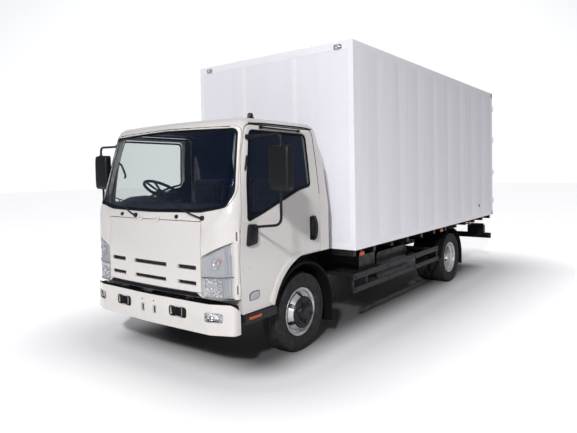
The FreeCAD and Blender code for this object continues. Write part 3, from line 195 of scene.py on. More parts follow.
def pressed_copy(node, name, material, body, edge=0.0, joint_x=None):
    """A CAD node's shape with its rolled bends smoothed and its cut edges broken by a small round."""
    bm = bmesh.new()
    bm.from_mesh(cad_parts[node].data)
    if joint_x:
        joined = [f for f in bm.faces if all(abs(abs(v.co.x) - joint_x) < 2e-5 for v in f.verts)]
        bmesh.ops.delete(bm, geom=joined, context="FACES_ONLY")
    bmesh.ops.remove_doubles(bm, verts=bm.verts, dist=2e-5)
    bmesh.ops.dissolve_limit(bm, angle_limit=math.radians(0.4), verts=bm.verts, edges=bm.edges)
    piece = lay(bm, name, material, body, replaces=[node], recalc=False)
    if edge:
        rounding = piece.modifiers.new("edge", "BEVEL")
        rounding.width, rounding.segments, rounding.angle_limit = edge, 2, math.radians(38)
        rounding.harden_normals = True
    return piece


def paint(material, *nodes):
    """Gives CAD nodes that stay in view their material."""
    for node in nodes:
        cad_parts[node].data.materials.clear()
        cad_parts[node].data.materials.append(material)


# two-pack acrylic enamel, sprayed and baked: a hard clear gloss over a slightly mottled skin
sprayed_enamel, tree, shader, place = finish(
    "sprayed_enamel", "#CDC9C6", 0.32, Coat_Weight=0.7, Coat_Roughness=0.07, Specular_IOR_Level=0.45
)
height = add(tree, "ShaderNodeSeparateXYZ", {0: place})
low = add(tree, "ShaderNodeMapRange", {
    "Value": height.outputs["Z"], "From Min": 0.45, "From Max": 1.15, "To Min": 0.5, "To Max": 0.03})
splash = add(tree, "ShaderNodeTexNoise", {"Vector": place, "Scale": 9.0, "Detail": 7.0, "Roughness": 0.62})
spots = add(tree, "ShaderNodeMath", {0: splash, 1: low}, operation="MULTIPLY")
add(tree, "ShaderNodeMix", {0: spots, 6: "#CECAC8", 7: "#B2ABA2"}, into=shader.inputs["Base Color"], data_type="RGBA")
peel = add(tree, "ShaderNodeTexNoise", {"Vector": place, "Scale": 120.0, "Detail": 2.0})
add(tree, "ShaderNodeBump", {"Height": peel, "Strength": 0.03, "Distance": 0.002}, into=shader.inputs["Normal"])
add(tree, "ShaderNodeMapRange", {"Value": splash, "From Min": 0.3, "From Max": 0.75, "To Min": 0.26, "To Max": 0.42},
    into=shader.inputs["Roughness"])

shell_panel = pressed_copy("cab_front", "cab_front_shell", sprayed_enamel, "cab", 0.0025)
pressed_copy("cab_roof", "cab_roof_skin", sprayed_enamel, "cab", 0.0025)
pressed_copy("front_lid", "front_lid_panel", sprayed_enamel, "front_lid", 0.0025)
paint(sprayed_enamel, "cab_back_wall", "cab_floor")

# ---------------------------------------------------------------- windscreen
# Laminated glass bonded to the shell. A black ceramic band, fired on to the glass, hides the
# bond line, and it is widest along the foot. The glass has a blue-green body tint.


def corner(start, here, end, steps):
    """Points along a bend that leaves start towards here and arrives at end."""
    return [start.lerp(here, k / steps).lerp(here.lerp(end, k / steps), k / steps) for k in range(steps + 1)]


def rounded(points, steps=7, runs=6):
    """A smooth outline from (u, v, corner radius) points, with equal counts of samples on corners and runs."""
    count = len(points)
    spots = [Vector((p[0], p[1])) for p in points]
    bends = []
    for i, (u, v, radius) in enumerate(points):
        here = spots[i]
        back, on = spots[i - 1] - here, spots[(i + 1) % count] - here
        reach = min(radius, back.length * 0.45, on.length * 0.45)
        start, end = here + back.normalized() * reach, here + on.normalized() * reach
        bends.append(corner(start, here, end, steps))
    line = []
    for i, bend in enumerate(bends):
        line += bend + [bend[-1].lerp(bends[(i + 1) % count][0], k / runs) for k in range(1, runs)]
    return line


def rounded_box(u0, v0, u1, v1, radius):
    """A smooth rectangular outline between two corners."""
    return rounded([(u0, v0, radius), (u0, v1, radius), (u1, v1, radius), (u1, v0, radius)])


def skin_of(*nodes):
    """The surface of CAD nodes, to lay thin parts on."""
    bm = bmesh.new()
    for node in nodes:
        bm.from_mesh(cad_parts[node].data)
    skin = BVHTree.FromBMesh(bm)
    bm.free()
    return skin


def drop_on(skin, spot, toward, lift=0.0):
    """Where a line from outside meets the skin, lifted off it by a distance in metres."""
    toward = Vector(toward).normalized()
    run_up = 3.0
    hit = skin.ray_cast(spot - toward * run_up, toward)[0] or skin.find_nearest(spot)[0]
    return hit - toward * lift


def from_ahead(skin, x, z, lift=0.0):
    """Where a line from ahead of the truck meets the skin, at x and z in millimetres."""
    return drop_on(skin, at(x, -1000, z), (0, 1, 0), lift)


def from_aside(skin, sign, y, z, lift=0.0):
    """Where a line from one side of the truck meets the skin, at y and z in millimetres."""
    return drop_on(skin, at(sign * 1100, y, z), (-sign, 0, 0), lift)


def bridge(bm, rings, capped=True):
    """Joins closed rings of vertices, one after the other, and fills the first and the last."""
    for a, b in zip(rings, rings[1:]):
        for k in range(len(a)):
            m = (k + 1) % len(a)
            bm.faces.new((a[k], a[m], b[m], b[k]))
    if capped:
        bm.faces.new(list(reversed(rings[0])))
        bm.faces.new(rings[-1])


def two_sided(bm, top, low):
    """Joins two matched grids of vertices into one closed sheet."""
    rows, columns = len(top) - 1, len(top[0]) - 1
    for i in range(rows):
        for j in range(columns):
            bm.faces.new((top[i][j], top[i + 1][j], top[i + 1][j + 1], top[i][j + 1]))
            bm.faces.new((low[i][j + 1], low[i + 1][j + 1], low[i + 1][j], low[i][j]))
    rim = [(i, 0) for i in range(rows)] + [(rows, j) for j in range(columns)]
    rim += [(i, columns) for i in range(rows, 0, -1)] + [(0, j) for j in range(columns, 0, -1)]
    for (i, j), (m, n) in zip(rim, rim[1:] + rim[:1]):
        bm.faces.new((low[i][j], low[m][n], top[m][n], top[i][j]))


def band_on(bm, outer, inner, meet, lift, thick):
    """Adds a closed band between two matched outlines: meet gives a point's place at a height over the skin."""
    outer_top, inner_top, outer_low, inner_low = (
        [bm.verts.new(meet(p, height)) for p in line] for height in (lift, lift - thick) for line in (outer, inner)
    )
    bridge(bm, [outer_top, inner_top, inner_low, outer_low, outer_top], capped=False)


def mound(bm, outline, middle, steps, meet):
    """Adds a low closed form: at each (share, height) step the outline is drawn in towards its middle."""
    bridge(bm, [
        [bm.verts.new(meet(middle + (p - middle) * share, height)) for p in outline] for share, height in steps
    ])


def both_halves(half):
    """A whole outline from its left half, which starts and ends on the centre line."""
    return half + [(-u, v, r) for u, v, r in reversed(half[1:-1])]


# float glass with a faint green body tint; its reflection is tinted blue, a painted reflection of an open sky
tinted_glass, tree, shader, place = finish(
    "tinted_glass", "#E5EAEA", 0.02, Transmission_Weight=1.0, IOR=1.42, Specular_IOR_Level=0.5,
    Specular_Tint=linear("#5A7FD0"),
)
rain = add(tree, "ShaderNodeTexNoise", {"Vector": place, "Scale": 14.0, "Detail": 6.0})
add(tree, "ShaderNodeMapRange", {"Value": rain, "From Min": 0.5, "From Max": 0.9, "To Min": 0.01, "To Max": 0.05},
    into=shader.inputs["Roughness"])
paint(tinted_glass, "windscreen", "door_glass_left", "door_glass_right")

# black enamel frit and butyl rubber: near black, a little glossy on glass, dull on rubber
black_band, tree, shader, place = finish("black_band", "#0C0E13", 0.6, Specular_IOR_Level=0.08)
grain = add(tree, "ShaderNodeTexNoise", {"Vector": place, "Scale": 260.0, "Detail": 3.0})
add(tree, "ShaderNodeMix", {0: grain, 6: "#090B10", 7: "#12151B"}, into=shader.inputs["Base Color"], data_type="RGBA")

screen_skin = skin_of("windscreen", "cab_front")
screen_edge = both_halves(
    [(0, 1424, 0), (650, 1434, 300), (920, 1484, 60), (958, 1600, 200), (899, 2179, 60), (0, 2198, 0)]
)
screen_clear = both_halves(
    [(0, 1454, 0), (640, 1466, 280), (892, 1516, 60), (926, 1612, 180), (862, 2138, 60), (0, 2160, 0)]
)
bm = bmesh.new()
band_on(
    bm, rounded(screen_edge), rounded(screen_clear), lambda p, lift: from_ahead(screen_skin, *p, lift), 0.0012, 0.003
)
lay(bm, "windscreen_band", black_band, "cab")

# ---------------------------------------------------------------- wipers and washer jets
# Two painted steel arms sweep from pivots in the scuttle. Each carries a rubber blade in a
# sprung steel holder. A small moulded jet stands by each pivot.


def sweep(bm, points, radius, corners=12):
    """Adds a round tube along points in metres, with flat ends, turning with the line."""
    rings = []
    side = None
    for i, point in enumerate(points):
        along = (points[min(i + 1, len(points) - 1)] - points[max(i - 1, 0)]).normalized()
        if side is None:
            side = along.orthogonal().normalized()
        side = (side - along * side.dot(along)).normalized()
        other = along.cross(side)
        reach = radius[i] if isinstance(radius, (list, tuple)) else radius
        turns = (2 * math.pi * k / corners for k in range(corners))
        rings.append([bm.verts.new(point + (side * math.cos(a) + other * math.sin(a)) * reach) for a in turns])
    bridge(bm, rings)


def bent(points, radius, steps=8):
    """Points in metres with each corner rounded, for tubes and rods."""
    line = [points[0]]
    for i in range(1, len(points) - 1):
        back, on = points[i - 1] - points[i], points[i + 1] - points[i]
        reach = min(radius, back.length * 0.48, on.length * 0.48)
        start, end = points[i] + back.normalized() * reach, points[i] + on.normalized() * reach
        line += corner(start, points[i], end, steps)
    return line + [points[-1]]


def solid_box(bm, low, high, edge=0.0, segments=2):
    """Adds a box between two opposite corners in metres, its edges rounded."""
    made = bmesh.ops.create_cube(bm, size=1.0)
    middle, size = (Vector(low) + Vector(high)) / 2, Vector(high) - Vector(low)
    for v in made["verts"]:
        v.co = Vector((middle[i] + v.co[i] * abs(size[i]) for i in range(3)))
    if edge:
        edges = {e for v in made["verts"] for e in v.link_edges}
        bmesh.ops.bevel(
            bm, geom=list(edges) + made["verts"], offset=edge, segments=segments, affect="EDGES", profile=0.6
        )


def lathe(bm, profile, centre, axis, steps=32):
    """Adds a turned form: (radius, distance along the axis) points in millimetres round a centre in metres."""
    axis = Vector(axis).normalized()
    side = axis.orthogonal().normalized()
    other = axis.cross(side)
    rings = []
    for radius, along in profile:
        middle = centre + axis * (along / 1000)
        turns = [0] if radius < 1e-6 else [2 * math.pi * k / steps for k in range(steps)]
        rings.append([
            bm.verts.new(middle + (side * math.cos(a) + other * math.sin(a)) * (radius / 1000)) for a in turns
        ])
    for a, b in zip(rings, rings[1:]):
        for k in range(steps if len(a) + len(b) > 2 else 0):
            m = (k + 1) % steps
            if len(a) == 1:
                bm.faces.new((a[0], b[m], b[k]))
            elif len(b) == 1:
                bm.faces.new((a[k], a[m], b[0]))
            else:
                bm.faces.new((a[k], a[m], b[m], b[k]))
    for ring in (rings[0][::-1], rings[-1]):
        if len(ring) > 2:
            bm.faces.new(ring)


# polyoxymethylene and glass-filled nylon, moulded with a fine spark-eroded grain: dull black
grained_plastic, tree, shader, place = finish("grained_plastic", "#0D0E12", 0.5, Specular_IOR_Level=0.3)
grain = add(tree, "ShaderNodeTexNoise", {"Vector": place, "Scale": 420.0, "Detail": 4.0, "Roughness": 0.6})
add(tree, "ShaderNodeBump", {"Height": grain, "Strength": 0.25, "Distance": 0.001}, into=shader.inputs["Normal"])
bleach = add(tree, "ShaderNodeTexNoise", {"Vector": place, "Scale": 7.0, "Detail": 3.0})
add(tree, "ShaderNodeMix", {0: bleach, 6: "#08090D", 7: "#141519"},
    into=shader.inputs["Base Color"], data_type="RGBA")
add(tree, "ShaderNodeMapRange", {"Value": grain, "From Min": 0.3, "From Max": 0.7, "To Min": 0.38, "To Max": 0.6},
    into=shader.inputs["Roughness"])

bm = bmesh.new()
for pivot_x, arm_x, arm_z, blade_from, blade_to in (
    (-208, -536, 1528, (-762, 1562), (-300, 1497)),
    (675, 250, 1520, (-86, 1524), (560, 1514)),
):
    pivot = from_ahead(screen_skin, pivot_x, 1388)
    knee = at(pivot_x, 0, 1388).lerp(at(arm_x, 0, arm_z), 0.28)
    knee = drop_on(screen_skin, Vector((knee.x, -3.3, knee.z)), (0, 1, 0), 0.034)
    held = from_ahead(screen_skin, arm_x, arm_z, 0.026)
    lathe(bm, [(0, -4), (21, -2), (21, 14), (17, 20), (10, 24), (0, 25)], pivot, (0, -1, 0.2), 20)
    sweep(bm, [pivot + Vector((0, -0.018, 0.002)), knee], [0.0085, 0.0075], 8)
    sweep(bm, [knee, held], [0.0065, 0.0042], 8)
    blade = []
    for t in range(13):
        along = Vector(blade_from).lerp(Vector(blade_to), t / 12)
        blade.append(from_ahead(screen_skin, along.x, along.y, 0.008))
    sweep(bm, blade, 0.0048, 6)
    bow = [p + Vector((0, -0.003 - 0.013 * math.sin(math.pi * t / 12), 0.002)) for t, p in enumerate(blade)]
    sweep(bm, bow, 0.0036, 6)
for jet_x in (-439, 366):
    foot = from_ahead(screen_skin, jet_x, 1392)
    lathe(bm, [(0, -3), (19, -2), (18, 8), (12, 16), (8, 21), (0, 22)], foot, (0, -1, 0.25), 16)
lay(bm, "wiper_arms_and_jets", grained_plastic, "cab")

# ---------------------------------------------------------------- front lid
# One pressed lid hides the service points. Six slots in two rows let air in, each with three
# dark bars behind it. The lid is bare of any badge.
bm = bmesh.new()
lid_skin = skin_of("front_lid")
bars_in_slot = 3
for x_from, x_to, z_from, z_to in (
    (-236, 236, 943, 977), (379, 608, 943, 977), (-608, -379, 943, 977),
    (-226, 226, 812, 840), (379, 606, 812, 840), (-606, -379, 812, 840),
):
    back_y = from_ahead(lid_skin, (x_from + x_to) / 2, z_to + 26).y
    for k in range(bars_in_slot):
        z = z_from + (z_to - z_from) * (k + 0.5) / bars_in_slot
        solid_box(bm, (x_from / 1000 - 0.006, back_y + 0.016, z / 1000 - 0.0028),
                  (x_to / 1000 + 0.006, back_y + 0.026, z / 1000 + 0.0028), 0.001, 1)
lay(bm, "lid_air_bars", grained_plastic, "front_lid")

# ---------------------------------------------------------------- doors
# Each door is a pressed steel leaf with a framed window. A rubber seal runs round the glass,
# and the pull handle is a black moulding: a bent grip over a shallow framed pad.
for side, sign in sides:
    pressed_copy(f"door_{side}", f"door_{side}_skin", sprayed_enamel, f"door_{side}", 0.0025)
    door_skin = skin_of(f"door_{side}", f"door_glass_{side}")

    def on_door(p, lift):
        """An outline point's place over the door's outer face."""
        return from_aside(door_skin, sign, p.x, p.y, lift)

    glass_edge = [
        (-812, 1346, 40), (-789, 1706, 900), (-709, 2142, 60), (121, 2142, 60),
        (142, 1630, 45), (-57, 1596, 300), (-580, 1419, 200),
    ]
    glass_clear = [
        (-786, 1386, 30), (-765, 1702, 900), (-689, 2122, 46), (101, 2122, 46),
        (122, 1650, 30), (-62, 1618, 300), (-572, 1447, 180),
    ]
    bm = bmesh.new()
    band_on(bm, rounded(glass_edge), rounded(glass_clear), on_door, 0.003, 0.008)
    lay(bm, f"window_seal_{side}", black_band, f"door_{side}")

    bm = bmesh.new()
    grip = [
        from_aside(door_skin, sign, 150, z, lift)
        for z, lift in ((1096, 0.004), (1112, 0.030), (1160, 0.042), (1250, 0.042), (1300, 0.030), (1316, 0.004))
    ]
    sweep(bm, bent(grip, 0.03), 0.019, 12)
    pad, pan = rounded_box(100, 1088, 202, 1324, 15), rounded_box(116, 1106, 186, 1306, 10)
    band_on(bm, pad, pan, on_door, 0.007, 0.012)
    bm.faces.new([bm.verts.new(on_door(p, 0.0015)) for p in pan])
    lay(bm, f"door_handle_{side}", grained_plastic, f"door_{side}")

# ---------------------------------------------------------------- headlamps
# Each lamp is a grey metallised tub behind a clear polycarbonate cover that follows the cab's
# corner. A bright bowl sits low in it, a grey one above, and a bar parts the two.

# polycarbonate, moulded and lacquered: nearly clear, a little milky, with a faint moulded flute
clear_cover, tree, shader, place = finish("clear_cover", "#E9EBEE", 0.06, Alpha=0.11, Specular_IOR_Level=0.5)
flutes = add(tree, "ShaderNodeTexWave", {
    "Vector": place, "Scale": 22.0, "Distortion": 0.6}, bands_direction="X")
add(tree, "ShaderNodeBump", {"Height": flutes.outputs["Fac"], "Strength": 0.16, "Distance": 0.002},
    into=shader.inputs["Normal"])
# vacuum-plated aluminium on moulded resin: a bright mirror with faint facets, each facet painted brighter or darker
# at random as a painted glint
plated_bowl, tree, shader, place = finish("plated_bowl", "#E3E5EA", 0.2, Metallic=0.9)
facets = add(tree, "ShaderNodeTexVoronoi", {"Vector": place, "Scale": 62.0})
cell = add(tree, "ShaderNodeSeparateColor", {0: facets.outputs["Color"]})
add(tree, "ShaderNodeMix", {0: cell.outputs[0], 6: "#61636F", 7: "#EEF0F5"},
    into=shader.inputs["Base Color"], data_type="RGBA")
add(tree, "ShaderNodeBump", {"Height": facets, "Strength": 0.9, "Distance": 0.012}, into=shader.inputs["Normal"])
# the same resin, thinly metallised: a grey silver with upright ribs, ten millimetres apart, striped dark and light
# across each rib as painted shade and highlight
metallised_resin, tree, shader, place = finish("metallised_resin", "#A8A8AD", 0.42, Metallic=0.35)
ribs = add(tree, "ShaderNodeTexWave", {"Vector": place, "Scale": 31.0}, bands_direction="X")
add(tree, "ShaderNodeMix", {0: ribs.outputs["Fac"], 6: "#7F8089", 7: "#A9AAB2"},
    into=shader.inputs["Base Color"], data_type="RGBA")
add(tree, "ShaderNodeBump", {"Height": ribs.outputs["Fac"], "Strength": 0.5, "Distance": 0.003},
    into=shader.inputs["Normal"])
# amber acrylic, moulded: a deep orange that glows where light passes
amber_acrylic, tree, shader, place = finish("amber_acrylic", "#C9591C", 0.2, Transmission_Weight=0.3, IOR=1.49)
cells = add(tree, "ShaderNodeTexVoronoi", {"Vector": place, "Scale": 180.0})
add(tree, "ShaderNodeBump", {"Height": cells, "Strength": 0.4, "Distance": 0.002}, into=shader.inputs["Normal"])

lamp_skin = skin_of("headlamps")
lamp_outer_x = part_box("headlamps")[1].x * 1000


def lamp_foot(x):
    """The height of the lamp's lower edge, which rises round the cab's corner."""
    return 720 + max(x - 956, 0) * 0.66


def lamp_head(x):
    """The height of the lamp's upper edge, which rises outwards."""
    return 1056 + (x - 672) * 0.449


def lamp_sheet(bm, sign, inset, lift, thick, edge_x):
    """Adds a curved sheet over the lamp's whole outline, with its thickness."""
    columns, rows, inner_x = 22, 14, 674
    sheets = []
    for height in (lift, lift - thick):
        grid = []
        for i in range(columns + 1):
            x = inner_x + inset + (edge_x - inner_x - 2 * inset) * (1 - (1 - i / columns) ** 1.35)
            low, high = lamp_foot(x) + inset, lamp_head(x) - inset
            grid.append([
                bm.verts.new(from_ahead(lamp_skin, sign * x, low + (high - low) * j / rows, height))
                for j in range(rows + 1)
            ])
        sheets.append(grid)
    two_sided(bm, *sheets)


bowl_depth = 0.030
covers, tubs, bowls, ambers, bars = (bmesh.new() for _ in range(5))
for sign in (1, -1):
    lamp_sheet(covers, sign, 0, 0.0, 0.003, edge_x=lamp_outer_x - 3)
    lamp_sheet(tubs, sign, 4, -0.040, 0.006, edge_x=lamp_outer_x - 16)
    rim = [(676, 722), (676, 1056)] + [(x, lamp_head(x) - 4) for x in (760, 850, 930, 966)]
    sweep(bars, [from_ahead(lamp_skin, sign * x, z, -0.006) for x, z in rim], 0.0045, 8)
    parting = [
        from_ahead(lamp_skin, sign * x, 884 + (x - 674) * 0.06, -0.005)
        for x in (676, 740, 800, 860, 910, 950, lamp_outer_x - 6)
    ]
    sweep(bars, parting, 0.005, 8)
    for shell, focus, reach, x_to, z_from, z_to in (
        (bowls, Vector((772, 800)), 124, 872, lambda x: 724, lambda x: 878),
        (tubs, Vector((806, 968)), 150, 900, lambda x: 892, lambda x: lamp_head(x) - 14),
    ):
        sheets = []
        for lift in (0.0, -0.003):
            grid = []
            for x in (682 + (x_to - 682) * i / 24 for i in range(25)):
                grid.append([])
                for z in (z_from(x) + (z_to(x) - z_from(x)) * j / 18 for j in range(19)):
                    far = min((Vector((x, z)) - focus).length / reach, 1.0)
                    sink = -0.008 - bowl_depth * (1 - far * far)
                    grid[-1].append(shell.verts.new(from_ahead(lamp_skin, sign * x, z, sink + lift)))
            sheets.append(grid)
        two_sided(shell, *sheets)
        face = from_ahead(lamp_skin, sign * focus.x, focus.y, -0.036)
        lathe(bowls, [(0, 0), (16, 0), (16, 4), (9, 6), (9, 18), (6, 24), (0, 26)], face, (0, -1, 0), 16)
    face = from_ahead(lamp_skin, sign * 812, 1006, -0.022)
    lathe(bowls, [(0, -4), (40, -4), (44, 6), (40, 8), (24, 2), (0, 0)], face, (0, -1, 0), 32)
    face = from_ahead(lamp_skin, sign * 862, 1034, -0.006)
    lathe(ambers, [(0, -16), (15, -16), (17, -8), (14, 0), (7, 3), (0, 4)], face, (sign * 0.3, -1, 0), 18)
    for k in range(4):
        for heights in ((730, 800, 872), (904, 1000, 1090)):
            sweep(tubs, [from_ahead(lamp_skin, sign * (892 + 16 * k), z, -0.016) for z in heights], 0.0035, 6)
lay(covers, "headlamp_covers", clear_cover, "cab", replaces=["headlamps"])
lay(tubs, "headlamp_tubs", metallised_resin, "cab")
lay(bowls, "headlamp_bowls", plated_bowl, "cab")
lay(bars, "headlamp_partings", grained_plastic, "cab")
lay(ambers, "indicator_bulbs", amber_acrylic, "cab")

# the black apron: a black strip laid over the shell below the lid, down to its lower edge
bm = bmesh.new()
shell_skin = skin_of("cab_front")
apron_reach, apron_foot, apron_top, apron_fall = 972, 711.5, 746, 27
sheets = [[], []]
for k in range(97):
    x = apron_reach * (k / 48 - 1)
    fall = min(max((abs(x) - 612) / 46, 0.0), 1.0)
    top = apron_top - apron_fall * (fall * fall * (3 - 2 * fall))
    for sheet, lift in zip(sheets, (0.0016, -0.003)):
        heights = (top, (top + apron_foot + 0.5) / 2, apron_foot)
        sheet.append([bm.verts.new(from_ahead(shell_skin, x, z, lift)) for z in heights])
two_sided(bm, *sheets)
lay(bm, "front_apron", black_band, "cab")
# the shell's faces that look downward, low at its front, take the black finish as well
shell_panel.data.materials.append(black_band)
for face in shell_panel.data.polygons:
    if face.normal.z < -0.3 and face.center.z < 0.8:
        face.material_index = 1

# ---------------------------------------------------------------- front bumper
# A pressed steel bumper, sprayed with the cab. Two dark intakes, two clear fog lamps and two
# brackets for a bare plate sit in its face, each held by a bolt. Painted shade darkens one side of
# each bracket, and a dark disc of painted shade marks a hole above it.

# zinc-plated steel fasteners: bright, slightly blue, with a thin dull film
zinc_plate, tree, shader, place = finish("zinc_plate", "#B9BDC2", 0.34, Metallic=1.0)
film = add(tree, "ShaderNodeTexNoise", {"Vector": place, "Scale": 90.0, "Detail": 4.0})
add(tree, "ShaderNodeMapRange", {"Value": film, "From Min": 0.3, "From Max": 0.7, "To Min": 0.24, "To Max": 0.5},
    into=shader.inputs["Roughness"])

bumper = pressed_copy(
    "front_bumper", "front_bumper_skin", sprayed_enamel, "chassis", 0.004, joint_x=0.89
)
bumper_skin = skin_of("front_bumper", "fog_lamps")
# painted shade: the faces inside the bumper, behind its front wall, are black; so are its upward top faces
bumper.data.materials.append(black_band)
for face in bumper.data.polygons:
    spot = face.center
    wall = drop_on(bumper_skin, Vector((spot.x, -4.0, 0.64)), (0, 1, 0), 0)
    behind = abs(spot.x) < 0.86 and abs(face.normal.x) < 0.6 and spot.y > wall.y + 0.006
    if behind or face.normal.z > 0.9 and spot.z > 0.6:
        face.material_index = 1
holes, fogs, brackets = bmesh.new(), bmesh.new(), bmesh.new()


def on_bumper(x, z, lift=0.0):
    """Where a line from ahead of the truck meets the bumper, at x and z in millimetres."""
    return drop_on(bumper_skin, at(x, -1100, z), (0, 1, 0), lift)


for sign in (1, -1):
    intake, intake_edge = rounded_box(280, 514, 501, 606, 30), rounded_box(287, 521, 494, 599, 24)
    fog_frame, fog_glass = rounded_box(723, 519, 889, 599, 26), rounded_box(731, 527, 881, 591, 18)
    band_on(holes, intake, intake_edge, lambda p, lift: on_bumper(sign * p.x, p.y, lift), 0.003, 0.007)
    wall_y = on_bumper(sign * 270, 620).y
    solid_box(holes, (sign * 0.272, wall_y + 0.026, 0.506), (sign * 0.509, wall_y + 0.034, 0.614), 0.002, 1)
    for z in (0.532, 0.546, 0.560, 0.574, 0.588):
        solid_box(holes, (sign * 0.288, wall_y + 0.020, z), (sign * 0.493, wall_y + 0.028, z + 0.004), 0.001, 1)
    band_on(holes, fog_frame, fog_glass, lambda p, lift: on_bumper(sign * p.x, p.y, lift), 0.003, 0.008)
    face_line = [on_bumper(sign * p.x, p.y, 0.0015) for p in fog_glass]
    bridge(fogs, [[fogs.verts.new(p + Vector((0, back, 0))) for p in face_line] for back in (0.004, 0)])
# painted shade: a dark strip down one side of each bracket's face, and a dark disc for the shade in a hole above it
shades = bmesh.new()
for x in (-86, 84):
    spot = Vector((x / 1000, on_bumper(x, 540).y, 0))
    solid_box(brackets, spot + Vector((-0.021, -0.006, 0.502)), spot + Vector((0.021, 0.003, 0.574)), 0.002, 2)
    solid_box(shades, spot + Vector((0.002, -0.0072, 0.512)), spot + Vector((0.017, -0.005, 0.566)), 0.001, 1)
    bolt_at, eye_at = spot + Vector((-0.010, -0.006, 0.538)), spot + Vector((-0.010, 0, 0.614))
    lathe(brackets, [(0, 0), (6, 0), (6, 3), (4, 5), (0, 5.5)], bolt_at, (0, -1, 0), 12)
    lathe(shades, [(0, -2), (7.5, -2), (7.5, 1), (5, 1.4), (0, 0.6)], eye_at, (0, -1, 0), 14)
# a short filler plate closes each end's top corner, where the wall is let in for the door
fillers = bmesh.new()
for sign in (1, -1):
    columns = []
    for k in range(9):
        foot = on_bumper(sign * (950 + 4.2 * k), 600, 0.0003)
        back = foot + Vector((-sign * 0.0022, 0.0022, 0))
        top = min(0.6715, 0.6725 - (foot.y - at(0, -1012, 0).y) * 0.793)
        corners = ((foot, 0.604), (foot, top), (back, top), (back, 0.604))
        columns.append([fillers.verts.new((p.x, p.y, z)) for p, z in corners])
    bridge(fillers, columns)
lay(fillers, "bumper_corner_fillers", sprayed_enamel, "chassis")
lay(shades, "bracket_slots", black_band, "chassis")
lay(holes, "bumper_bezels", grained_plastic, "chassis")
lay(fogs, "fog_lamp_glass", clear_cover, "chassis")
lay(brackets, "plate_brackets", zinc_plate, "chassis")
paint(plated_bowl, "fog_lamps")

# ---------------------------------------------------------------- mirrors
# A tall head of black moulded plastic on a bent tube. The tube is bolted to a foot on the
# door's front edge and to a bracket by the roof. The glass faces backwards.

# silvered float glass: an almost perfect mirror with a cool cast
mirror_glass, tree, shader, place = finish("mirror_glass", "#C9D2D8", 0.03, Metallic=1.0)
dust = add(tree, "ShaderNodeTexNoise", {"Vector": place, "Scale": 30.0, "Detail": 5.0})
add(tree, "ShaderNodeMapRange", {"Value": dust, "From Min": 0.45, "From Max": 0.8, "To Min": 0.02, "To Max": 0.12},
    into=shader.inputs["Roughness"])


for side, sign in sides:
    head_at = at(sign * 1282, -724, 1805)
    bm = bmesh.new()
    rings = []
    for z, shrink, bulge in (
        (-186, 0.80, 0.42), (-183, 0.90, 0.62), (-172, 0.965, 0.80), (-150, 1.0, 0.92), (-90, 1.0, 1.0),
        (0, 1.0, 1.0), (90, 1.0, 1.0), (150, 1.0, 0.92), (172, 0.965, 0.80), (183, 0.90, 0.62), (186, 0.80, 0.42),
    ):
        half_x, front = 109 * shrink, 38 * bulge
        plan = rounded(
            [(-half_x, -front, 34), (half_x, -front, 34), (half_x, 38, 9), (-half_x, 38, 9)], steps=6, runs=4)
        rings.append([bm.verts.new(head_at + Vector((p.x, p.y, z)) / 1000) for p in plan])
    bridge(bm, rings)
    lay(bm, f"mirror_head_{side}", grained_plastic, f"door_{side}", replaces=[f"mirror_{side}"])

    bm = bmesh.new()
    face = rounded_box(-97, -170, 97, 170, 22)
    ring = [bm.verts.new(head_at + Vector((p.x, 37.0, p.y)) / 1000) for p in face]
    front = [bm.verts.new(head_at + Vector((p.x * 0.985, 37.95, p.y * 0.99)) / 1000) for p in face]
    bridge(bm, [ring, front])
    lay(bm, f"mirror_glass_{side}", mirror_glass, f"door_{side}")

    bm = bmesh.new()
    lower = [at(sign * 975, -765, 1300), at(sign * 1282, -724, 1330), at(sign * 1282, -724, 1640)]
    upper = [at(sign * 925, -752, 2079), at(sign * 1298, -730, 2084), at(sign * 1298, -730, 1975)]
    sweep(bm, bent(lower, 0.07), 0.0118, 14)
    sweep(bm, bent(upper, 0.06), 0.0118, 14)
    for clamp in (at(sign * 1282, -724, 1628), at(sign * 1298, -730, 1984)):
        lathe(bm, [(0, -14), (21, -14), (24, -8), (24, 8), (21, 14), (0, 14)], clamp, (0, 0, 1), 18)
    solid_box(bm, at(sign * 934, -768, 2056), at(sign * 958, -694, 2102), 0.006, 3)
    lay(bm, f"mirror_arms_{side}", grained_plastic, f"door_{side}")

    bm = bmesh.new()
    leaf_skin = skin_of(f"door_{side}")
    mound(bm, rounded([(-838, 1138, 30), (-706, 1150, 34), (-696, 1322, 26), (-812, 1330, 26)]), Vector((-766, 1236)),
          ((1.0, -0.003), (1.0, 0.012), (0.93, 0.024), (0.72, 0.031)),
          lambda p, lift: from_aside(leaf_skin, sign, p.x, p.y, lift))
    lay(bm, f"mirror_foot_{side}", grained_plastic, f"door_{side}")

# ---------------------------------------------------------------- door lamps, arch lips and cab trim
# A pressed lip follows each front wheel arch. A clear side lamp sits low by the door's front
# edge, and a pillar moulding, a rain rail, a rod and a roof marker finish the cab's sides.
arch_middle = (60, 400)


def arch_points(radius, start, end, count=30):
    """(y, z) points in millimetres along the wheel arch, angles in degrees from straight back."""
    turns = (math.radians(start + (end - start) * k / count) for k in range(count + 1))
    return [Vector((arch_middle[0] + radius * math.cos(a), arch_middle[1] + radius * math.sin(a))) for a in turns]


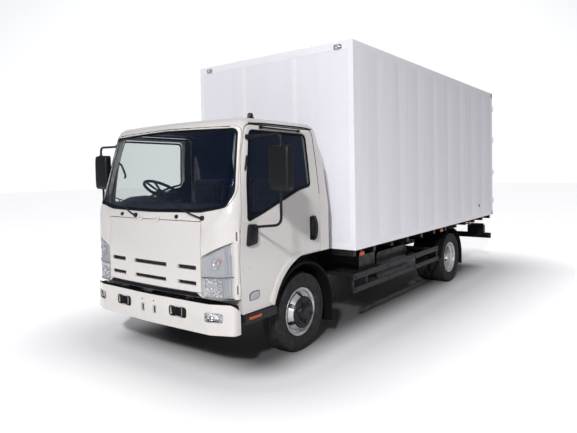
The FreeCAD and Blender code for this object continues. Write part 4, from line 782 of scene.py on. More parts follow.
for side, sign in sides:
    leaf_skin = skin_of(f"door_{side}")

    def on_leaf(p, lift):
        """An outline point's place over the door's outer face."""
        return from_aside(leaf_skin, sign, p.x, p.y, lift)

    bm = bmesh.new()
    line, wide = arch_points(569, 166, 92), arch_points(640, 161, 92)
    columns = []
    for k, (near, far) in enumerate(zip(line, wide)):
        fade = min(1.0, (len(line) - 1 - k) / 9)
        far = near.lerp(far, 0.35 + 0.65 * fade)
        crest = [
            on_leaf(near.lerp(far, share), lift * (0.2 + 0.8 * fade))
            for share, lift in ((0, 0.0), (0.03, 0.014), (0.3, 0.0175), (0.6, 0.016), (0.88, 0.008), (1.0, -0.001))
        ]
        columns.append([bm.verts.new(spot) for spot in crest + [on_leaf(far, -0.004), on_leaf(near, -0.004)]])
    bridge(bm, columns)
    lay(bm, f"arch_lip_{side}", sprayed_enamel, f"door_{side}")

    middle = Vector((-744, 708))
    lens = [
        middle + Vector(((p.x - middle.x) * 0.78, (p.y - middle.y) * 0.64)) for p in rounded([
            (-822, 654, 14), (-704, 652, 16), (-664, 684, 20), (-668, 762, 12), (-778, 764, 14), (-824, 734, 18)])
    ]
    for name, material, slot, steps in (
        ("side_lamp", clear_cover, "lamp_lens", ((1.0, -0.002), (1.0, 0.006), (0.95, 0.011), (0.7, 0.0125))),
        ("side_lamp_foil", metallised_resin, "lamp_lens",
         ((0.88, -0.002), (0.88, 0.003), (0.6, 0.0036), (0.34, 0.0015))),
    ):
        bm = bmesh.new()
        mound(bm, lens, middle, steps, on_leaf)
        lay(bm, f"{name}_{side}", material, f"door_{side}")
    bm = bmesh.new()
    outer = [middle + (p - middle) * 1.07 for p in lens]
    rings = [
        [bm.verts.new(on_leaf(p, lift)) for p in loop]
        for loop, lift in ((outer, -0.002), (outer, 0.003), (lens, 0.005), (lens, -0.002))
    ]
    bridge(bm, rings + rings[:1], capped=False)
    lay(bm, f"side_lamp_gasket_{side}", grained_plastic, f"door_{side}")

    bm = bmesh.new()
    cab_side = skin_of("cab_front", "cab_roof", f"door_{side}", "windscreen")
    rail = [from_aside(cab_side, sign, y, z, 0.004) for y, z in
            ((-700, 2203), (-560, 2210), (-400, 2212), (-200, 2212), (0, 2212), (150, 2208), (238, 2200))]
    sweep(bm, bent(rail, 0.02, 3), 0.007, 8)
    moulding = [
        drop_on(cab_side, at(sign * 1100, -874 + 4 * k, 1788 + 16.25 * k), (-sign, 0.5, 0), 0.002) for k in range(9)
    ]
    sweep(bm, moulding, [0.006] + [0.010] * 7 + [0.006], 8)
    rod = [from_aside(cab_side, sign, y, z, 0.016) for y, z in ((-557, 2174), (-280, 2190), (-4, 2198))]
    sweep(bm, rod, 0.008, 8)
    for end in (rod[0], rod[-1]):
        solid_box(bm, end - Vector((0.014, 0.020, 0.014)), end + Vector((0.006, 0.020, 0.012)), 0.004, 2)
    lay(bm, f"rain_rail_{side}", grained_plastic, "cab")

# one roof marker, on the left side only
bm = bmesh.new()
roof_skin = skin_of("cab_roof")
marker = drop_on(roof_skin, at(800, -545, 2400), (0, 0, -1), 0.0)
marker_eye = marker + Vector((0, 0, 0.026))
solid_box(bm, marker + Vector((-0.026, -0.020, -0.012)), marker + Vector((0.026, 0.022, 0.012)), 0.005, 2)
lathe(bm, [(0, -16), (22, -16), (24, -10), (24, 12), (20, 16), (0, 16)], marker_eye, (0, 1, 0), 24)
lay(bm, "roof_marker_housing", grained_plastic, "cab")
bm = bmesh.new()
lathe(bm, [(0, 15), (20, 15), (20, 19), (15, 24), (8, 27), (0, 28)], marker_eye, (0, -1, 0), 24)
lay(bm, "roof_marker_lens", clear_cover, "cab")

# ---------------------------------------------------------------- tyres
# Seven-and-a-half inch wide steel-belted tyres of carbon-black rubber. The mould leaves four
# straight grooves, staggered shoulder blocks, fine ribs on the wall and dull, dusty flanks.


def tyre_form(bm, centre, half, crown):
    """Adds a tyre's carcass with four grooves and wall ribs, as a closed turned form."""
    seat, bead = 75, 238
    right = [
        (crown, 16), (crown - 9, 18), (crown - 9, 26), (crown, 28), (crown - 1.0, 52), (crown - 9, 54),
        (crown - 9, 62), (crown - 1.5, 64), (crown - 5, half - 16), (crown - 14, half - 7), (crown - 30, half - 3),
        (crown - 44, half - 1.2), (crown - 46, half - 2.4), (crown - 62, half), (crown - 84, half),
        (crown - 88, half - 1.6), (crown - 104, half - 4), (crown - 122, half - 12), (bead + 10, half - 22),
        (bead, seat + 2), (222.5, seat - 1),
    ]
    profile = right[::-1] + [(crown, 0)] + [(r, -a) for r, a in right]
    lathe(bm, profile + [profile[0]], centre, (-1, 0, 0), 96)
    bmesh.ops.remove_doubles(bm, verts=bm.verts, dist=1e-6)


def parts_tree(name, inputs):
    """A Geometry Nodes tree with named inputs: returns it, its input node and the inputs' identifiers."""
    tree = bpy.data.node_groups.new(name, "GeometryNodeTree")
    identifiers = {}
    for socket, kind in (("Geometry", "Geometry"), ("Part", "Object"), ("Finish", "Material")) + inputs:
        made = tree.interface.new_socket(socket, in_out="INPUT", socket_type="NodeSocket" + kind)
        identifiers[socket] = made.identifier
    tree.interface.new_socket("Geometry", in_out="OUTPUT", socket_type="NodeSocketGeometry")
    return tree, add(tree, "NodeGroupInput").outputs, identifiers


def set_parts(tree, inlet, points, rotation):
    """The end of a tree: its part is copied to every point, turned, made real and given its finish."""
    part = add(tree, "GeometryNodeObjectInfo", {"Object": inlet["Part"]})
    copies = add(tree, "GeometryNodeInstanceOnPoints", {
        "Points": points, "Instance": part.outputs["Geometry"], "Rotation": rotation})
    real = add(tree, "GeometryNodeRealizeInstances", {0: copies})
    outlet = add(tree, "NodeGroupOutput")
    add(tree, "GeometryNodeSetMaterial", {"Geometry": real, "Material": inlet["Finish"]}, into=outlet.inputs[0])


# copies of one part stand evenly round an axle, each turned to face outwards
ring_of_parts, inlet, ring_sockets = parts_tree("parts_round_an_axle", (
    ("Count", "Int"), ("Ring Radius", "Float"), ("Start Angle", "Float"), ("Centre", "Vector")))
ring = add(ring_of_parts, "GeometryNodeMeshCircle", {"Vertices": inlet["Count"], "Radius": inlet["Ring Radius"]})
index = add(ring_of_parts, "GeometryNodeInputIndex")
step = add(ring_of_parts, "ShaderNodeMath", {0: 2 * math.pi, 1: inlet["Count"]}, operation="DIVIDE")
turn = add(ring_of_parts, "ShaderNodeMath", {0: index, 1: step, 2: inlet["Start Angle"]}, operation="MULTIPLY_ADD")
spin = add(ring_of_parts, "ShaderNodeCombineXYZ", {"X": turn})
rise = add(ring_of_parts, "ShaderNodeVectorRotate", {"Vector": (0, 0, 1), "Center": (0, 0, 0), "Rotation": spin},
           rotation_type="EULER_XYZ")
reach = add(ring_of_parts, "ShaderNodeVectorMath", {0: rise, "Scale": inlet["Ring Radius"]}, operation="SCALE")
spot = add(ring_of_parts, "ShaderNodeVectorMath", {0: reach, 1: inlet["Centre"]}, operation="ADD")
moved = add(ring_of_parts, "GeometryNodeSetPosition", {"Geometry": ring, "Position": spot})
set_parts(ring_of_parts, inlet, moved, add(ring_of_parts, "FunctionNodeEulerToRotation", {0: spin}))


def grown_mesh(tree, identifiers, values, base=None):
    """The plain mesh that a Geometry Nodes tree makes with these named inputs."""
    carrier = bpy.data.objects.new("carrier", base or bpy.data.meshes.new("carrier"))
    bpy.context.scene.collection.objects.link(carrier)
    modifier = carrier.modifiers.new("parts", "NODES")
    modifier.node_group = tree
    for name, value in values.items():
        modifier[identifiers[name]] = value
    bpy.context.view_layer.update()
    made = bpy.data.meshes.new_from_object(carrier.evaluated_get(bpy.context.evaluated_depsgraph_get()))
    carrier.modifiers.remove(modifier)
    bpy.data.objects.remove(carrier)
    return made


def loose_part(bm, name):
    """A part for instancing, made round the origin and kept out of the scene."""
    bmesh.ops.recalc_face_normals(bm, faces=bm.faces)
    mesh = bpy.data.meshes.new(name)
    bm.to_mesh(mesh)
    bm.free()
    return bpy.data.objects.new(name, mesh)


# carbon-black rubber, moulded: matt, bluish where it is clean and brown-grey where dust lies
moulded_rubber, tree, shader, place = finish("moulded_rubber", "#242426", 0.78, Specular_IOR_Level=0.3)
dust = add(tree, "ShaderNodeTexNoise", {"Vector": place, "Scale": 16.0, "Detail": 8.0, "Roughness": 0.65})
amount = add(tree, "ShaderNodeMapRange", {"Value": dust, "From Min": 0.42, "From Max": 0.72, "To Max": 0.75})
add(tree, "ShaderNodeMix", {0: amount, 6: "#1D1D20", 7: "#3B3835"},
    into=shader.inputs["Base Color"], data_type="RGBA")
pores = add(tree, "ShaderNodeTexNoise", {"Vector": place, "Scale": 300.0, "Detail": 4.0})
add(tree, "ShaderNodeBump", {"Height": pores, "Strength": 0.3, "Distance": 0.001}, into=shader.inputs["Normal"])

bm = bmesh.new()
solid_box(bm, (-0.019, -0.0155, -0.013), (0.019, 0.0155, 0.0), 0.0022, 1)
shoulder_block = loose_part(bm, "shoulder_block")
bm = bmesh.new()
solid_box(bm, (-0.0115, -0.011, -0.008), (0.0115, 0.011, 0.0), 0.0018, 1)
crown_block = loose_part(bm, "crown_block")

tyre_radius, tyre_half, rear_axle_y = 383.5, 105.5, 3815
front_wheel_x, rear_inner_x, rear_outer_x = 840, 727, 963
wheel_sets = []
for side, sign in sides:
    wheel_sets.append((f"front_wheel_{side}", f"front_tyre_{side}", [at(sign * front_wheel_x, 0, tyre_radius)]))
    wheel_sets.append((f"rear_wheels_{side}", f"rear_tyres_{side}", [
        at(sign * x, rear_axle_y, tyre_radius) for x in (rear_inner_x, rear_outer_x)]))
for body, node, centres in wheel_sets:
    bm = bmesh.new()
    for centre in centres:
        tyre_form(bm, centre, tyre_half, tyre_radius)
    for centre in centres:
        for part, count, across_x, radius in (
            (shoulder_block, 58, 0.080, 0.3790), (shoulder_block, 58, -0.080, 0.3790),
            (crown_block, 84, 0.0395, 0.3834), (crown_block, 84, -0.0395, 0.3834), (crown_block, 84, 0.0, 0.3834),
        ):
            start = 0.04 * (across_x > 0) + 0.02 * (abs(across_x) < 0.05)
            bm.from_mesh(grown_mesh(ring_of_parts, ring_sockets, {
                "Part": part, "Count": count, "Ring Radius": radius, "Start Angle": start,
                "Centre": centre + Vector((across_x, 0, 0)), "Finish": moulded_rubber}))
    lay(bm, node + "_moulded", moulded_rubber, body, replaces=[node])

# ---------------------------------------------------------------- wheels
# Pressed steel rims and discs, painted aluminium silver. The front hub carries a black painted
# disc with six dark nuts. The rear wheels are twins, with plated nuts deep inside the dish.

# zinc-rich base and silver lacquer: a soft metallic sheen, greyed by brake dust near the bends
silver_lacquer, tree, shader, place = finish(
    "silver_lacquer", "#C3C4C8", 0.36, Metallic=0.55, Coat_Weight=0.3, Coat_Roughness=0.2
)
dust = add(tree, "ShaderNodeTexNoise", {"Vector": place, "Scale": 20.0, "Detail": 7.0, "Roughness": 0.6})
amount = add(tree, "ShaderNodeMapRange", {"Value": dust, "From Min": 0.45, "From Max": 0.75, "To Max": 0.5})
add(tree, "ShaderNodeMix", {0: amount, 6: "#C9CACD", 7: "#837E78"},
    into=shader.inputs["Base Color"], data_type="RGBA")
flake = add(tree, "ShaderNodeTexNoise", {"Vector": place, "Scale": 700.0, "Detail": 1.0})
add(tree, "ShaderNodeMapRange", {"Value": flake, "From Min": 0.3, "From Max": 0.7, "To Min": 0.3, "To Max": 0.46},
    into=shader.inputs["Roughness"])
# chassis black: a satin two-coat enamel with road dust settled on it
chassis_enamel, tree, shader, place = finish("chassis_enamel", "#17181C", 0.5, Specular_IOR_Level=0.3)
dust = add(tree, "ShaderNodeTexNoise", {"Vector": place, "Scale": 11.0, "Detail": 8.0, "Roughness": 0.65})
amount = add(tree, "ShaderNodeMapRange", {"Value": dust, "From Min": 0.45, "From Max": 0.75, "To Max": 0.6})
add(tree, "ShaderNodeMix", {0: amount, 6: "#121318", 7: "#312F2C"},
    into=shader.inputs["Base Color"], data_type="RGBA")
add(tree, "ShaderNodeMapRange", {"Value": amount, "From Max": 0.6, "To Min": 0.34, "To Max": 0.75},
    into=shader.inputs["Roughness"])
paint(silver_lacquer, "front_rim_left", "front_rim_right", "rear_rims_left", "rear_rims_right")

nut = bmesh.new()
lathe(nut, [(0, -14), (17.5, -14), (17.5, 2), (15, 6), (13.5, 8)], Vector(), (1, 0, 0), 6)
lathe(nut, [(0, 4), (10.5, 8), (10.5, 16), (9, 18), (0, 19)], Vector(), (1, 0, 0), 14)
lathe(nut, [(0, -15), (22, -15), (22, -11), (0, -11)], Vector(), (1, 0, 0), 18)
wheel_nut = loose_part(nut, "wheel_nut")
nut = bmesh.new()
lathe(nut, [(0, -19), (10, -18), (10.5, -8), (13.5, -8), (15, -6), (17.5, -2), (17.5, 14), (0, 14)],
      Vector(), (1, 0, 0), 6)
wheel_nut_right = loose_part(nut, "wheel_nut_right")
nut_circle, hole_circle, hole_radius = 0.111, 0.166, 0.0232
for side, sign in sides:
    part = wheel_nut if sign > 0 else wheel_nut_right
    bm = bmesh.new()
    hub = at(sign * front_wheel_x, 0, tyre_radius)
    outward = (sign, 0, 0)
    lathe(bm, [(84, 112), (84, 128), (104, 131), (140, 131), (152, 127), (156, 120), (156, 112), (84, 112)],
          hub, outward, 72)
    lathe(bm, [(0, 162), (38, 163), (54, 162), (60, 158), (83, 140), (87, 132), (87, 120), (0, 120)],
          hub, outward, 56)
    # dark plates stand just behind the six hand holes, for the brake drum that shows through: dark in itself, and
    # partly painted shade inside the holes
    rim_skin = skin_of(f"front_rim_{side}")
    for k in range(6):
        turn = math.radians(60 * k + 30)
        rings = [[], []]
        for t in (2 * math.pi * i / 24 for i in range(24)):
            reach, aside = hole_circle + hole_radius * math.cos(t), hole_radius * math.sin(t)
            face = drop_on(rim_skin, hub + Vector((0, reach, 0)), (-sign, 0, 0))
            for ring, depth in zip(rings, (0.003, 0.006)):
                ring.append(bm.verts.new((
                    face.x - sign * depth, hub.y + reach * math.cos(turn) - aside * math.sin(turn),
                    hub.z + reach * math.sin(turn) + aside * math.cos(turn))))
        bridge(bm, rings)
    bmesh.ops.remove_doubles(bm, verts=bm.verts, dist=1e-6)
    lay(bm, f"hub_disc_{side}", chassis_enamel, f"front_wheel_{side}")
    bm = bmesh.new()
    bm.from_mesh(grown_mesh(ring_of_parts, ring_sockets, {
        "Part": part, "Count": 6, "Ring Radius": nut_circle, "Start Angle": 0.26,
        "Centre": hub + Vector((sign * 0.140, 0, 0)), "Finish": chassis_enamel}))
    lay(bm, f"front_wheel_nuts_{side}", chassis_enamel, f"front_wheel_{side}")
    bm = bmesh.new()
    valve = Vector((sign * 0.072, 0.186 * math.cos(0.5), 0.186 * math.sin(0.5)))
    lathe(bm, [(0, 0), (4.5, 0), (4.5, 34), (6, 36), (6, 46), (0, 47)], hub + valve,
          (sign * 0.75, 0.55 * math.cos(0.5), 0.55 * math.sin(0.5)), 10)
    lay(bm, f"tyre_valve_{side}", zinc_plate, f"front_wheel_{side}")

    hub = at(sign * rear_outer_x, rear_axle_y, tyre_radius)
    bm = bmesh.new()
    bm.from_mesh(grown_mesh(ring_of_parts, ring_sockets, {
        "Part": part, "Count": 6, "Ring Radius": nut_circle, "Start Angle": 0.0,
        "Centre": hub + Vector((-sign * 0.092, 0, 0)), "Finish": zinc_plate}))
    lay(bm, f"rear_wheel_nuts_{side}", zinc_plate, f"rear_wheels_{side}", recalc=False)

# ---------------------------------------------------------------- load box
# White glass-fibre faced plywood panels, held at every edge by painted steel angles. Rivets
# run along the angles. Faint uprights show where the panels are bonded to their posts.

# copies of one part stand evenly along paths, each facing one way
run_of_parts, inlet, run_sockets = parts_tree("parts_along_runs", (("Spacing", "Float"), ("Facing", "Vector")))
path = add(run_of_parts, "GeometryNodeMeshToCurve", {0: inlet["Geometry"]})
spots = add(run_of_parts, "GeometryNodeResampleCurve", {"Curve": path, "Length": inlet["Spacing"]}, mode="LENGTH")
facing = add(run_of_parts, "FunctionNodeAlignRotationToVector", {"Vector": inlet["Facing"]}, axis="Z")
set_parts(run_of_parts, inlet, spots, facing)


def along_runs(runs, part, spacing, facing, material):
    """The mesh of parts set along straight or bent runs of points in metres."""
    path = bpy.data.meshes.new("runs")
    points, edges = [], []
    for run in runs:
        for k, point in enumerate(run):
            if k:
                edges.append((len(points) - 1, len(points)))
            points.append(point)
    path.from_pydata(points, edges, [])
    return grown_mesh(run_of_parts, run_sockets, {
        "Part": part, "Spacing": spacing, "Facing": Vector(facing), "Finish": material}, base=path)


# gel-coated glass fibre: a white with a low gloss, rain streaks and a slight quilting; each upright band, about 0.55
# m wide, is painted lighter at its front and darker towards its back, as painted shade across the panels
gel_coat, tree, shader, place = finish(
    "gel_coat", "#DFDDE3", 0.42, Coat_Weight=0.25, Coat_Roughness=0.2, Specular_IOR_Level=0.45
)
stretch = add(tree, "ShaderNodeMapping", {"Vector": place, "Scale": (6.0, 6.0, 0.35)})
streaks = add(tree, "ShaderNodeTexNoise", {"Vector": stretch, "Scale": 1.6, "Detail": 6.0})
amount = add(tree, "ShaderNodeMapRange", {"Value": streaks, "From Min": 0.45, "From Max": 0.8, "To Max": 0.4})
panels = add(tree, "ShaderNodeTexWave", {
    "Vector": place, "Scale": 0.57}, bands_direction="Y", wave_profile="SAW")
panel = add(tree, "ShaderNodeMix", {0: panels.outputs["Fac"], 6: "#F1EFF5", 7: "#E5E4EB"}, data_type="RGBA")
add(tree, "ShaderNodeMix", {0: amount, 6: panel, 7: "#DAD9E0"}, into=shader.inputs["Base Color"], data_type="RGBA")
quilt = add(tree, "ShaderNodeTexNoise", {"Vector": place, "Scale": 2.4, "Detail": 2.0})
add(tree, "ShaderNodeBump", {"Height": quilt, "Strength": 0.06, "Distance": 0.02}, into=shader.inputs["Normal"])
# edge angles: folded steel, sprayed white over primer, chalky and a little chipped at the edge
angle_enamel, tree, shader, place = finish("angle_enamel", "#DBD8DD", 0.4, Specular_IOR_Level=0.45)
chips = add(tree, "ShaderNodeTexNoise", {"Vector": place, "Scale": 26.0, "Detail": 8.0, "Roughness": 0.7})
amount = add(tree, "ShaderNodeMapRange", {"Value": chips, "From Min": 0.6, "From Max": 0.72, "To Max": 0.6})
add(tree, "ShaderNodeMix", {0: amount, 6: "#EBE9EE", 7: "#B4AEAB"},
    into=shader.inputs["Base Color"], data_type="RGBA")

paint(gel_coat, "box_sides", "box_front_wall", "box_roof", "rear_door_left", "rear_door_right")
paint(angle_enamel, "box_rear_frame")
paint(zinc_plate, "rear_door_rods_left", "rear_door_rods_right")
paint(chassis_enamel, "box_floor")

_, box_front, box_foot = at(-1169, 677, 918)
box_side, box_rear, box_head = at(1169, 5763, 3164)
dome = bmesh.new()
lathe(dome, [(0, -0.6), (6.5, -0.6), (6.2, 0.8), (4.2, 2.0), (0, 2.6)], Vector(), (0, 0, 1), 8)
dome_rivet = loose_part(dome, "dome_rivet")
# how far the angles stand proud of the panels, a corner's leg, and the pitches of uprights and rivets
proud, leg, upright_pitch, rivet_pitch = 0.0022, 0.062, 0.577, 0.118
strips, rivets = bmesh.new(), []
for side, sign in sides:
    skin_x, out_x, corner_x = sign * (box_side - 0.0005), sign * (box_side + proud), sign * (box_side - leg / 2)
    solid_box(strips, (sign * box_side, box_front - proud, box_foot),
              (sign * (box_side - leg), box_front, box_head), 0.0008, 1)
    for y_from, z_from, y_to, z_to in (
        (box_front, box_foot, box_front + leg, box_head - 0.001),
        (box_front + leg, box_head - 0.076, box_rear - 0.006, box_head - 0.001),
        (box_front + leg, box_foot, box_rear - 0.006, box_foot + 0.070),
        (box_rear - 0.072, box_foot, box_rear - 0.004, box_head - 0.001),
    ):
        solid_box(strips, (skin_x, y_from, z_from), (out_x, y_to, z_to), 0.0008, 1)
    for y_from, z_from, y_to, z_to in (
        (box_front + leg / 2, box_foot + 0.05, box_front + leg / 2, box_head - 0.05),
        (box_front + 0.12, box_head - 0.030, box_rear - 0.12, box_head - 0.030),
        (box_front + 0.12, box_foot + 0.036, box_rear - 0.12, box_foot + 0.036),
        (box_rear - 0.036, box_foot + 0.05, box_rear - 0.036, box_head - 0.05),
    ):
        rivets.append(((out_x, y_from, z_from), (out_x, y_to, z_to), (sign, 0, 0)))
    rivets.append((
        (corner_x, box_front - proud, box_foot + 0.05), (corner_x, box_front - proud, box_head - 0.05), (0, -1, 0)))
    uprights = bmesh.new()
    for y in (box_front + upright_pitch * k for k in range(1, 9)):
        solid_box(uprights, (sign * (box_side - 0.0003), y - 0.030, box_foot + 0.072),
                  (sign * (box_side + 0.0011), y + 0.030, box_head - 0.078), 0.0005, 1)
    lay(uprights, f"box_uprights_{side}", angle_enamel, "chassis", smooth=False)
for z_from, z_to in ((box_head - 0.086, box_head), (box_foot, box_foot + 0.070)):
    solid_box(strips, (leg - box_side, box_front - proud, z_from), (box_side - leg, box_front, z_to), 0.0008, 1)
for x in (-0.39, 0.39):
    solid_box(strips, (x - 0.028, box_front - 0.0011, box_foot + 0.072),
              (x + 0.028, box_front + 0.0003, box_head - 0.088), 0.0005, 1)
for z in (box_head - 0.030, box_foot + 0.036):
    rivets.append(((0.12 - box_side, box_front - proud, z), (box_side - 0.12, box_front - proud, z), (0, -1, 0)))
lay(strips, "box_edge_angles", angle_enamel, "chassis", smooth=False)
bm = bmesh.new()
for start, end, facing in rivets:
    bm.from_mesh(along_runs([[start, end]], dome_rivet, rivet_pitch, facing, angle_enamel))
lay(bm, "box_rivets", angle_enamel, "chassis", recalc=False)

# ---------------------------------------------------------------- lamps and markers of the load box
# Two clear clearance lamps in plated bezels sit high on the front wall. Orange markers hang
# under the sides on small brackets, and a dark oval pass-through sits low on the left side.
bezels, lenses, markers, dark = bmesh.new(), bmesh.new(), bmesh.new(), bmesh.new()
clearance, centre = rounded([(-50, -26, 22), (50, -26, 22), (50, 26, 22), (-50, 26, 22)]), Vector((0, 0))
for sign, bracket_from, bracket_to in ((1, 1.125, 1.135), (-1, -1.151, -1.129)):
    spot = Vector((sign * 0.985, box_front - proud, 3.108))
    for bm, steps in (
        (bezels, ((1.0, -0.002), (1.0, 0.010), (0.9, 0.016), (0.84, 0.014))),
        (lenses, ((0.83, 0.013), (0.80, 0.022), (0.62, 0.029), (0.3, 0.032))),
    ):
        mound(bm, clearance, centre, steps, lambda p, out: spot + Vector((p.x / 1000, -out, p.y / 1000)))
    for y, z in ((864, 858), (3241, 872), (4520, 862)):
        low, high = at(sign * 1129, y - 45, z - 20), at(sign * 1147, y + 45, z + 20)
        solid_box(markers, low, high, 0.005, 3)
        solid_box(dark, (bracket_from, low.y + 0.012, low.z + 0.006),
                  (bracket_to, high.y - 0.012, box_foot), 0.002, 1)
oval_spot = at(1169, 4948, 1131)
mound(dark, rounded([(-17, -27, 16), (17, -27, 16), (17, 27, 16), (-17, 27, 16)]), centre,
      ((1.0, -0.001), (1.0, 0.005), (0.82, 0.007), (0.5, 0.0045)),
      lambda p, out: oval_spot + Vector((out, p.x / 1000, p.y / 1000)))
lay(bezels, "clearance_bezels", plated_bowl, "chassis")
lay(lenses, "clearance_lenses", clear_cover, "chassis")
lay(markers, "side_markers", amber_acrylic, "chassis")
lay(dark, "marker_brackets", chassis_enamel, "chassis")

# ---------------------------------------------------------------- step, guards and running gear
# Steps of folded steel under the doors carry an orange reflector. The side guards are dark
# rails on posts. Bolts run along the guards and along the frame.

# guard rails: extruded aluminium, powder-coated near black, chalked by weather
guard_coat, tree, shader, place = finish("guard_coat", "#1D1D22", 0.5, Specular_IOR_Level=0.28)
dust = add(tree, "ShaderNodeTexNoise", {"Vector": place, "Scale": 9.0, "Detail": 7.0})
add(tree, "ShaderNodeMix", {0: dust, 6: "#17181C", 7: "#26262B"}, into=shader.inputs["Base Color"], data_type="RGBA")
# moulded polypropylene arches: dull black with a fine grain, greyed by splash, and darker than such plastic is, as
# painted shade inside the arch
arch_moulding, tree, shader, place = finish("arch_moulding", "#0A0A0C", 0.75, Specular_IOR_Level=0.12)
dust = add(tree, "ShaderNodeTexNoise", {"Vector": place, "Scale": 18.0, "Detail": 8.0, "Roughness": 0.65})
add(tree, "ShaderNodeMix", {0: dust, 6: "#08080A", 7: "#131315"}, into=shader.inputs["Base Color"], data_type="RGBA")
# cast iron, left as cast under a thin paint: dark, rough and rusty in the low places
cast_iron, tree, shader, place = finish("cast_iron", "#34312F", 0.7, Metallic=0.3)
rust = add(tree, "ShaderNodeTexNoise", {"Vector": place, "Scale": 14.0, "Detail": 9.0, "Roughness": 0.7})
amount = add(tree, "ShaderNodeMapRange", {"Value": rust, "From Min": 0.5, "From Max": 0.7, "To Max": 0.6})
add(tree, "ShaderNodeMix", {0: amount, 6: "#2B2A2B", 7: "#5A4031"},
    into=shader.inputs["Base Color"], data_type="RGBA")
add(tree, "ShaderNodeBump", {"Height": rust, "Strength": 0.4, "Distance": 0.003}, into=shader.inputs["Normal"])
# aluminised steel silencer: dull silver, browned where it runs hot
aluminised_steel, tree, shader, place = finish("aluminised_steel", "#77716A", 0.5, Metallic=0.8)
heat = add(tree, "ShaderNodeTexNoise", {"Vector": place, "Scale": 6.0, "Detail": 7.0})
add(tree, "ShaderNodeMix", {0: heat, 6: "#8A8681", 7: "#5B463A"}, into=shader.inputs["Base Color"], data_type="RGBA")
# red and clear acrylic tail lamps: deep red with a prismatic back that breaks up the light
red_acrylic, tree, shader, place = finish("red_acrylic", "#8E1418", 0.16, Transmission_Weight=0.2, IOR=1.49)
prisms = add(tree, "ShaderNodeTexVoronoi", {"Vector": place, "Scale": 160.0})
add(tree, "ShaderNodeMix", {0: prisms, 6: "#A0181B", 7: "#5C0C10"},
    into=shader.inputs["Base Color"], data_type="RGBA")
add(tree, "ShaderNodeBump", {"Height": prisms, "Strength": 0.4, "Distance": 0.002}, into=shader.inputs["Normal"])
paint(chassis_enamel, "frame_rails", "frame_crossmembers", "rear_underrun", "fuel_tank", "battery_box", "cab_steps",
      "front_axle_beam", "rear_axle", "knuckle_left", "knuckle_right")
paint(cast_iron, "engine_block", "driveline", "leaf_springs")
paint(aluminised_steel, "exhaust")
paint(guard_coat, "side_guards")
paint(arch_moulding, "mudguards")
paint(grained_plastic, "tail_lamps")

bolt = bmesh.new()
lathe(bolt, [(0, 0), (13, 0), (13, 2.5), (10.5, 2.5)], Vector(), (0, 0, 1), 12)
lathe(bolt, [(10, 2.4), (10, 9), (8.5, 10.5), (0, 10.5)], Vector(), (0, 0, 1), 6)
hex_bolt = loose_part(bolt, "hex_bolt")
bm = bmesh.new()
for sign in (1, -1):
    for node, y_from, y_to, heights, pitch in (
        ("frame_rails", 1180, 5600, (600, 750), 0.26), ("side_guards", 800, 3180, (458, 606), 0.793),
    ):
        out = Vector((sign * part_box(node)[1].x, 0, 0))
        runs = [[at(0, y, z) + out for y in (y_from, y_to)] for z in heights]
        bm.from_mesh(along_runs(runs, hex_bolt, pitch, (sign, 0, 0), chassis_enamel))
lay(bm, "frame_bolts", chassis_enamel, "chassis", recalc=False)

bm = bmesh.new()
step_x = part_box("cab_steps")[1].x
for sign in (1, -1):
    solid_box(bm, (sign * (step_x - 0.002), at(0, -832, 0).y, 0.514),
              (sign * (step_x + 0.007), at(0, -676, 0).y, 0.538), 0.003, 2)
lay(bm, "step_reflectors", amber_acrylic, "chassis")

# ---------------------------------------------------------------- seats
# Moulded foam cushions in a woven dark blue cloth, three across. Each cushion is crowned, with
# sewn channels across it, and its sides pull in between the corners. They stand on the deck.

# plain-woven polyester cloth: dull navy with a thread grid, drawn at 3 mm so that it shows
woven_cloth, tree, shader, place = finish("woven_cloth", "#1B2233", 0.85, Sheen_Weight=0.25, Sheen_Roughness=0.5)
warp = add(tree, "ShaderNodeTexWave", {"Vector": place, "Scale": 105.0}, bands_direction="X")
weft_a = add(tree, "ShaderNodeTexWave", {"Vector": place, "Scale": 105.0}, bands_direction="Y")
weft_b = add(tree, "ShaderNodeTexWave", {"Vector": place, "Scale": 105.0}, bands_direction="Z")
weft = add(tree, "ShaderNodeMath", {0: weft_a.outputs["Fac"], 1: weft_b.outputs["Fac"]}, operation="MULTIPLY")
weave = add(tree, "ShaderNodeMath", {0: warp.outputs["Fac"], 1: weft}, operation="MAXIMUM")
add(tree, "ShaderNodeMix", {0: weave, 6: "#131929", 7: "#242D45"}, into=shader.inputs["Base Color"], data_type="RGBA")
add(tree, "ShaderNodeBump", {"Height": weave, "Strength": 0.35, "Distance": 0.001}, into=shader.inputs["Normal"])


def settle(piece):
    """Keeps what a piece's modifiers make as the piece's own mesh."""
    made = bpy.data.meshes.new_from_object(piece.evaluated_get(bpy.context.evaluated_depsgraph_get()))
    piece.modifiers.clear()
    piece.data = made


